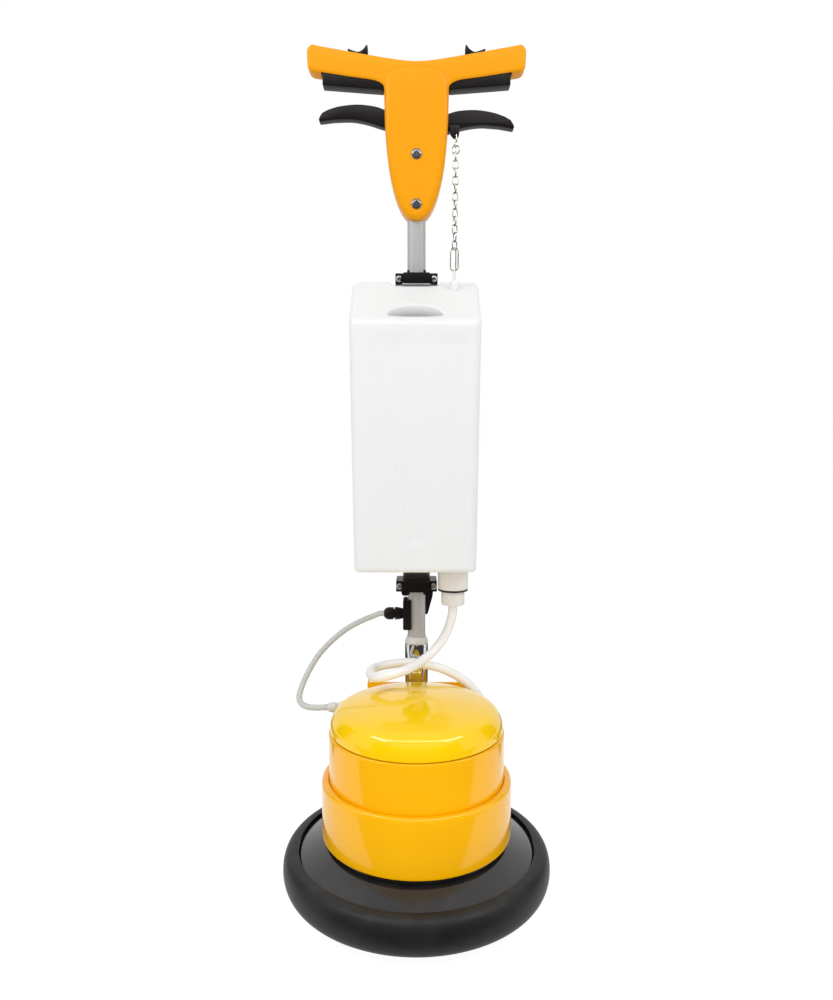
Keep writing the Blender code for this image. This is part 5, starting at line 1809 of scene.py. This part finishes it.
@dataclass
class PoleFittings:
    """Clamps, straps, wiring box, glands, hose fitting and hook."""

    pole_y: float = 0.1680
    clamp_z: Pair = (0.4600, 0.9945)
    screw_x: float = 0.0298
    ear_front: float = 0.1400
    gland_z: float = 0.4050
    hook_top: float = 0.4502

    def clamps(self) -> None:
        """Both clamps with their screws and straps."""
        for name, level in zip(("lower", "upper"), self.clamp_z):
            refine(f"{name}_clamp", BLACK, Rides.POLE, 0.0009, 3)
            refine(f"{name}_strap", STEEL, Rides.POLE, 0.0005, 2)
            for side in Side:
                screw = cross_head(radius=0.0058, tall=0.0034, shank=0.0025, length=0.0320)
                aimed(screw, (0, 1, 0), (side.value * self.screw_x, self.ear_front, level))
                node = f"{name}_clamp_screw_{side.word}"
                publish(f"{name}_screw_{side.word}", screw, STEEL, Rides.POLE, [node])

    def pole_gland(self) -> None:
        """The gland on the wiring box: taper, hexagon, thread and ribbed nut."""
        place = (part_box("pole_gland")[1].x, self.pole_y, self.gland_z)
        r, bore = 0.0112, 0.0040
        taper = spun([(bore, 0), (0.0092, 0), (r, 0.0080), (r, 0.0100), (bore, 0.0100)], SMALL, ring=True)
        hexagon = softened(tube(bore, 0.0118, 0.0095, 0.0150, 6), 0.0005)
        thread = tube(bore, 0.0084, 0.0145, 0.0175)
        nut = self.ribbed(r, 0.0170, 0.0345, bore)
        form = aimed(joined(taper, hexagon, thread, nut), (-1, 0, 0), place)
        publish("pole_gland_body", form, BLACK, Rides.POLE, ["pole_gland"])

    def ribbed(self, radius: float, low: float, high: float, bore: float) -> Shape:
        """A gland's domed nut with grip ribs.

        Args:
            radius: Its largest radius.
            low: Where it starts along its axis.
            high: Where its nose ends.
            bore: Radius of the hole for the cable.

        Returns:
            The closed shape.
        """
        long = high - low
        nut = spun(eased([
            (bore, low, 0), (radius * 0.98, low, 0.0006), (radius, low + long * 0.08, 0),
            (radius, low + long * 0.58, 0.001), (radius * 0.80, low + long * 0.86, long * 0.10),
            (bore + 0.0016, high, 0.0008), (bore + 0.0010, high, 0), (bore, high, 0),
        ], closed=True), NUT_STEPS, ring=True)
        return grooved(nut, radius * 0.9, radius, 0.0007, 16, 2, low + long * 0.66)

    def motor_gland(self) -> None:
        """The pale gland in the dome's boss."""
        low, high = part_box("motor_gland")
        middle = (low + high) / 2
        radius = (high.z - low.z) / 2
        length, bore = high.x - low.x, 0.0042
        seat = softened(tube(bore, radius * 0.92, 0, length * 0.2, 6), 0.0004)
        thread = tube(bore, radius * 0.74, length * 0.18, length * 0.32)
        nut = self.ribbed(radius, length * 0.30, length, bore)
        form = aimed(joined(seat, thread, nut), (-1, 0, 0), (high.x, middle.y, middle.z))
        publish("motor_gland_body", form, PALE, Rides.BASE, ["motor_gland"])

    def hose_fitting(self) -> None:
        """The barbed elbow's upright end that the hose pushes onto."""
        low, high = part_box("hose_fitting")
        middle = (low + high) / 2
        radius = (high.x - low.x) / 2
        foot, bore = low.z, 0.0030
        form = spun(eased([
            (bore, foot, 0), (radius, foot, 0), (radius, foot + 0.008, 0.001),
            (0.0094, foot + 0.0095, 0.0008), (0.0086, foot + 0.0225, 0.0006), (0.0079, high.z, 0),
            (bore, high.z, 0),
        ], closed=True), FINE, ring=True)
        aimed(form, (0, 0, 1), (middle.x, middle.y, 0))
        publish("hose_socket", form, OUTLET, Rides.BASE, ["hose_fitting"])

    def hook(self) -> None:
        """The hook for a wound-up lead, behind the pole."""
        top = self.hook_top
        outline = eased([
            (-0.026, top, 0), (-0.0285, 0.442, 0.003), (-0.026, 0.4335, 0.003), (-0.007, 0.4335, 0.004),
            (0.010, 0.425, 0.008), (0.012, 0.399, 0.002), (0.0205, 0.399, 0.003), (0.0305, 0.436, 0.006),
            (0.030, top, 0),
        ], closed=True, steps=4)
        near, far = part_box("cable_hook")[0].y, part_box("cable_hook")[1].y
        publish("lead_hook", pebble(outline, near, far, 0.001, 0.001, 3), BLACK, Rides.POLE, ["cable_hook"])

    def build(self) -> None:
        """Builds the fittings."""
        self.clamps()
        refine("wiring_box", BLACK, Rides.POLE, 0.0008, 2)
        self.pole_gland()
        self.motor_gland()
        self.hose_fitting()
        self.hook()


# ---------------------------------------------------------------- handle


@dataclass
class Handle:
    """Moulded T handle with its switch bars, catches and levers."""

    half: float = 0.1850
    top: float = 1.3560
    slope: float = 0.1770
    bend: float = 0.0300
    under: Pair = (0.0800, 1.3244)
    under_slope: float = 0.1260
    front: float = 0.1400
    split: float = 0.1580
    rear: float = 0.1760
    seam: float = 0.00015  # half of the gap between the two halves
    front_drop: float = 0.0028
    pad_rise: float = 0.0012
    pad_roll: Pair = (0.0120, 0.0095)
    hump_roll: Pair = (0.0110, 0.0100)
    hump_root: float = 0.0050
    pocket_deep: float = 0.0100
    pocket_wall: float = 0.0045
    hub_rear: float = 0.1885
    hub_half: float = 0.0545
    hub_shoulder: float = 1.2950
    hub_tip: float = 1.0943
    hub_curve: Pair = (2.2, 0.45)  # powers that shape its sides
    pad_top: float = 1.3490
    end_r: float = 0.0125
    roll: float = 0.0060
    screw_heights: Pair = (1.2016, 1.1192)
    lever_half: float = 0.0095
    bar_half: float = 0.0120
    thumb_half: float = 0.0075
    slack: float = 0.0008
    groove_x: tuple[float, ...] = (0.1440, 0.1485, 0.1530, 0.1575)
    groove_half: float = 0.0012
    tube: Triple = (0.1680, 0.0163, 1.3005)  # the pole's Y, its hole's radius and the hole's top
    crisp: float = math.radians(28)

    def grip_top(self, x: float) -> float:
        """Height of the grips' top edge."""
        return self.top + self.slope * (math.sqrt(x * x + self.bend**2) - self.bend)

    def hub_side(self, share: float) -> Pair:
        """A point of the hub's right side.

        Args:
            share: Where it lies, from the shoulder (0) to the tip (1).

        Returns:
            The point.
        """
        bulge, point = self.hub_curve
        half = self.hub_half * max(0.0, 1 - share**bulge) ** point
        return half, self.hub_shoulder - share * (self.hub_shoulder - self.hub_tip)

    def hub_points(self, steps: int = 26) -> list[Pair]:
        """The hub's right side between its shoulder and its tip."""
        return [self.hub_side(math.sin(math.pi / 2 * k / steps)) for k in range(1, steps)]

    def grip_under(self, x: float) -> float:
        """Height of the grips' lower edge."""
        return self.under[1] + self.under_slope * (x - self.under[0])

    def mirrored(self, right: Sequence[Pair]) -> list[Pair]:
        """A whole outline from its right half."""
        return [*right, *((-x, z) for x, z in reversed(right) if x > 1e-6)]

    def outline(self) -> list[Pair]:
        """Draws the whole T.

        Returns:
            Its outline.
        """
        straight, steps, r = self.half * 0.92, 22, self.end_r
        right = [(straight * k / steps, self.grip_top(straight * k / steps)) for k in range(steps + 1)]
        right += arc((self.half - r, self.grip_top(self.half) - r - 0.0010), r, 80, 0, 8)
        right += arc((self.half - r - 0.0010, self.grip_under(self.half) + r), r, -4, -82, 8)
        inner, start = self.hub_half + 0.0003, self.under[0] + 0.03
        right += eased([
            (start, self.grip_under(start), 0), (inner, self.grip_under(inner), 0.0270),
            (inner, self.hub_shoulder, 0),
        ], steps=10)
        return self.mirrored([*right, *self.hub_points(), (0.0, self.hub_tip)])

    def pad_outline(self) -> list[Pair]:
        """Draws the hub's raised middle.

        Returns:
            Its outline.
        """
        wide = self.hub_half - 0.0006
        right = eased([
            (0, self.pad_top, 0), (wide, self.pad_top - 0.004, 0.0330), (wide, self.hub_shoulder, 0),
        ], steps=12)
        return self.mirrored([*right, *self.hub_points(), (0.0, self.hub_tip)])

    def slots(self) -> Shape:
        """Room for the bars, the levers and the catches, and the grips' thin grooves.

        Returns:
            The blocks to cut away.
        """
        catch_half = 0.0048
        rooms = []
        for side in Side:
            for inner, outer, low, high, half in (
                (0.0549, 0.1610, 1.2900, self.top - 0.0060, self.bar_half + self.slack),
                (0.0300, 0.0800, 1.2270, 1.2890, self.lever_half + self.slack),
                (0.0870, 0.1085, self.top - 0.0060, self.top + 0.0440, catch_half),
            ):
                near, far = side.span(inner, outer)
                rooms.append(block((near, self.split - half, low), (far, self.split + half, high)))
            for x in self.groove_x:
                near, far = side.span(x - self.groove_half, x + self.groove_half)
                back = self.split - self.bar_half - 0.0009
                edge = self.grip_under(x)
                rooms.append(block((near, self.front - 0.001, edge - 0.0020), (far, back, edge + 0.0026)))
        return joined(*rooms)

    def hollowed(self, half: Shape, middle: Shape) -> Shape:
        """Unites half of the T with its raised middle and cuts its hollow and its slots.

        Args:
            half: The half; it is freed.
            middle: The raised middle; it is freed.

        Returns:
            The new shape.
        """
        whole = combined(half, middle, Merge.UNITE)
        pocket = slab(self.pocket(), self.split - self.pocket_deep, self.split + self.pocket_deep)
        return combined(combined(whole, pocket), self.slots())

    def halves(self) -> None:
        """Front and rear shell."""
        meet = self.split - self.seam
        front = self.hollowed(
            crowned(self.outline(), meet, self.front + self.front_drop, self.roll, self.roll),
            crowned(self.pad_outline(), meet, self.front - self.pad_rise, *self.pad_roll, 9),
        )
        publish("handle_front_shell", front, ORANGE, Rides.POLE, ["handle_front"], self.crisp)
        rear = self.hollowed(
            crowned(self.outline(), self.split + self.seam, self.rear, self.roll, self.roll),
            crowned(self.pad_outline(), self.split + self.hump_root, self.hub_rear, *self.hump_roll, 8),
        )
        y, r, top = self.tube
        low = self.hub_tip - 0.02
        hole = spun([(0, low), (r, low), (r, top), (0, top)], FINE)
        rear = combined(rear, aimed(hole, (0, 0, 1), (0, y, 0)))
        publish("handle_rear_shell", rear, ORANGE, Rides.POLE, ["handle_rear"], self.crisp)

    def pocket(self) -> list[Pair]:
        """Draws the hollow inside the grips, between the halves.

        Returns:
            Its outline.
        """
        wall, end = self.pocket_wall, 0.172
        right = [(x, self.grip_top(x) - wall) for x in (0.0, 0.03, 0.06, 0.09, 0.12, 0.15, end)]
        right += [(end, self.grip_under(end) + wall), (0.070, self.under[1] + wall)]
        right += [(0.0490, 1.3100), (0.0500, self.hub_shoulder)]
        right += [(x - wall, z) for x, z in self.hub_points() if x > 0.03]
        return self.mirrored(right)

    def screws(self) -> None:
        """The two screws through the hub."""
        for number, height in enumerate(self.screw_heights, 1):
            long = self.hub_rear - self.front - 0.004
            screw = cross_head(radius=0.0090, tall=0.0036, shank=0.0040, length=long)
            aimed(screw, (0, 1, 0), (0, self.front - self.pad_rise, height))
            publish(f"hub_bolt_{number}", screw, SCREW_STEEL, Rides.POLE, [f"hub_screw_{number}"])

    def bars(self) -> None:
        """The switch bars under the grips."""
        inner, outer, high = 0.0556, 0.1590, self.top - 0.0140
        right = [(inner, self.top - 0.0467), (outer, self.top - 0.0390), (outer, high), (inner, high)]
        near, far = self.split - self.bar_half, self.split + self.bar_half
        for side, rides in ((Side.LEFT, Rides.LEFT_SWITCH), (Side.RIGHT, Rides.RIGHT_SWITCH)):
            form = softened(slab(side.outline(right), near, far), 0.0018, 3)
            publish(f"bar_{side.word}", form, BLACK, rides, [f"switch_bar_{side.word}"])

    def catches(self) -> None:
        """The horned catches on the grips."""
        top, deep = self.top, 0.0040
        base = [(x, self.grip_top(x) + 0.0006) for x in (0.0835, 0.0920, 0.1000, 0.1080, 0.1160)]
        heel = (0.1165, self.grip_top(0.1165) + 0.0052)
        scoop = flowing([
            (0.1158, self.grip_top(0.1158) + 0.0058), (0.1060, top + 0.0182), (0.0985, top + 0.0166),
            (0.0925, top + 0.0192), (0.0880, top + 0.0232), (0.0852, top + 0.0276),
        ], 0.0012)
        horn = [(0.0838, top + 0.0277), (0.0826, top + 0.0262), (0.0822, top + 0.0180)]
        near, far = self.split - self.thumb_half, self.split + self.thumb_half
        for side, rides in ((Side.LEFT, Rides.LEFT_CATCH), (Side.RIGHT, Rides.RIGHT_CATCH)):
            form = softened(slab(side.outline([*base, heel, *scoop, *horn]), near, far), 0.0005, 2, 60)
            low, high = side.span(0.0885, 0.1000)
            stem = block((low, self.split - deep, top), (high, self.split + deep, top + 0.0140))
            publish(f"catch_{side.word}", joined(form, stem), BLACK, rides, [f"thumb_catch_{side.word}"])

    def levers(self) -> None:
        """The drooping levers; the right one has a lug for the chain."""
        upper = [(0.052, -0.0785), (0.070, -0.0725), (0.100, -0.0692), (0.130, -0.0720), (0.150, -0.0775)]
        tip = [(0.1605, -0.0828), (0.1660, -0.0920), (0.1648, -0.0968), (0.1600, -0.0966)]
        lower = [(0.140, -0.0942), (0.110, -0.0938), (0.085, -0.0980), (0.062, -0.1050), (0.050, -0.1085)]
        ends = [*flowing(upper, 0.004), *flowing(tip, 0.0015), *flowing(lower, 0.004)]
        near, far = self.split - self.lever_half, self.split + self.lever_half
        for node, name, side, rides, drop in (
            ("tilt_lever", "tilt_handle", Side.LEFT, Rides.TILT_RELEASE, 0.0),
            ("water_lever", "water_handle", Side.RIGHT, Rides.WATER_CONTROL, 0.0060),
        ):
            right = [(x, self.top + z - drop * (1 + (x - 0.040) * 8)) for x, z in ends]
            right += arc((0.0350, self.top - 0.0940 - drop), 0.0085, 250, 110, 8)
            form = pebble(side.outline(right), near, far, 0.0026, 0.0030)
            if side is Side.RIGHT:
                form = joined(form, self.lug())
            publish(name, form, BLACK, rides, [node])

    def lug(self) -> Shape:
        """Makes the pierced lug that the chain hooks into.

        Returns:
            Its shape.
        """
        outline = eased([
            (0.0562, 1.2500, 0), (0.0732, 1.2500, 0), (0.0722, 1.2335, 0.003), (0.0690, 1.2290, 0.003),
            (0.0640, 1.2282, 0.003), (0.0580, 1.2350, 0.002),
        ], closed=True)
        form = pebble(outline, 0.1425, 0.1500, 0.0008, 0.0008, 2)
        eye = spun([(0, -0.02), (0.0026, -0.02), (0.0026, 0.02), (0, 0.02)], SMALL)
        return combined(form, aimed(eye, (0, 1, 0), (0.0670, 0.1460, 1.2340)))

    def build(self) -> None:
        """Builds the handle."""
        self.halves()
        self.screws()
        self.bars()
        self.catches()
        self.levers()


@dataclass
class WaterChain:
    """Bright chain from the water lever to the plug's rod."""

    eye: Triple = (0.0670, 0.1455, 1.2330)
    foot: Triple = (0.0635, 0.1180, 1.0040)
    clip_long: float = 0.0370
    clip_wide: float = 0.0150
    pitch: float = 0.0143
    link_wide: float = 0.0102
    gauge: float = 0.00105
    upper: tuple[tuple[float, float, float, float], ...] = (  # start, length, width and turn of each
        (-0.0022, 0.0105, 0.0064, 62), (0.0062, 0.0085, 0.0058, -20), (0.0126, 0.0060, 0.0054, 80),
        (0.0168, 0.0128, 0.0140, 8),
    )

    def loop(self, start: float, long: float, wide: float, turn: float) -> Wire:
        """A long round-ended link.

        Args:
            start: Distance of its upper inner end from the eye.
            long: Its inner length.
            wide: Its outer width.
            turn: Its turn about the chain, in degrees.

        Returns:
            Its wire.
        """
        down = (Vector(self.foot) - Vector(self.eye)).normalized()
        side = Vector((1, 0, 0)) - down * down.x
        side.normalize()
        depth = down.cross(side)
        across = side * math.cos(math.radians(turn)) + depth * math.sin(math.radians(turn))
        half = wide / 2 - self.gauge
        top = start - self.gauge + half
        low = start + long + self.gauge - half
        points = []
        for centre, first in ((top, 180), (low, 0)):
            for x, z in arc((0, centre), half, first, first + 180, 8):
                points.append(Vector(self.eye) + down * z + across * x)
        return points, self.gauge, True

    def build(self) -> None:
        """Builds the links, the ring and the long clip."""
        reach = (Vector(self.foot) - Vector(self.eye)).length
        rows = [self.loop(*link) for link in self.upper]
        here = self.upper[-1][0] + self.upper[-1][1] - 2 * self.gauge
        end = reach - self.clip_long
        count = round((end - here) / self.pitch)
        pitch = (end - here) / count
        for number in range(count):
            turn = 90 - 84 * (number % 2) - number * 3
            rows.append(self.loop(here + self.gauge, pitch, self.link_wide, turn))
            here += pitch
        rows.append(self.loop(here - 0.0005, self.clip_long, self.clip_wide, 6))
        tongue = self.loop(here + 0.003, self.clip_long - 0.003, 0.0070, 6)[0]
        rows.append((tongue[4:14], self.gauge, False))
        publish("chain_links", wired(*rows), CHAIN, Rides.WATER_PULL, ["chain"], ROUND)


# ---------------------------------------------------------------- hidden works


@dataclass
class Works:
    """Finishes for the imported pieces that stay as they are."""

    finishes: tuple[tuple[Finish, tuple[str, ...]], ...] = (
        (CAST, ("gearbox_housing", "motor_end_shield")),
        (GEAR_STEEL, ("output_carrier", "planet_gear_1", "planet_gear_2", "planet_gear_3", "rotor_shaft")),
        (STEEL, ("motor_base_plate", "lower_bearing", "upper_bearing", "lock_pin")),
        (CORE, ("stator", "rotor_core")),
        (BLACK, ("pad_driver", "cooling_fan", "run_capacitor")),
    )

    def build(self) -> None:
        """Gives each of them its finish."""
        for finish, names in self.finishes:
            for name in names:
                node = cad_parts[name]
                node.data.materials.clear()
                node.data.materials.append(finish.material())
                LOG.info("%s: %s", name, finish.name)


def main() -> None:
    """Builds the camera and the cords, then every sub-assembly."""
    logging.basicConfig(level=logging.INFO, format="%(name)s: %(message)s")
    Studio().build()
    FreeCord(
        "power_cable", "link_cable", CABLE_ROUTE, radius=0.0050, finish=CABLE, stiffness="medium",
        lay="loose", moves_above=0.400, still_below=0.290,
    ).build()
    FreeCord(
        "water_hose", "solution_hose", HOSE_ROUTE, radius=0.0079, finish=HOSE, stiffness="medium",
        lay="loose", moves_above=0.425, still_below=0.120,
    ).build()
    for assembly in (
        Disc(), Drum(), Undercarriage(), Pole(), Tank(), PoleFittings(), Handle(), WaterChain(), Works(),
    ):
        assembly.build()
    bpy.context.view_layer.update()


if __name__ == "__main__":
    main()
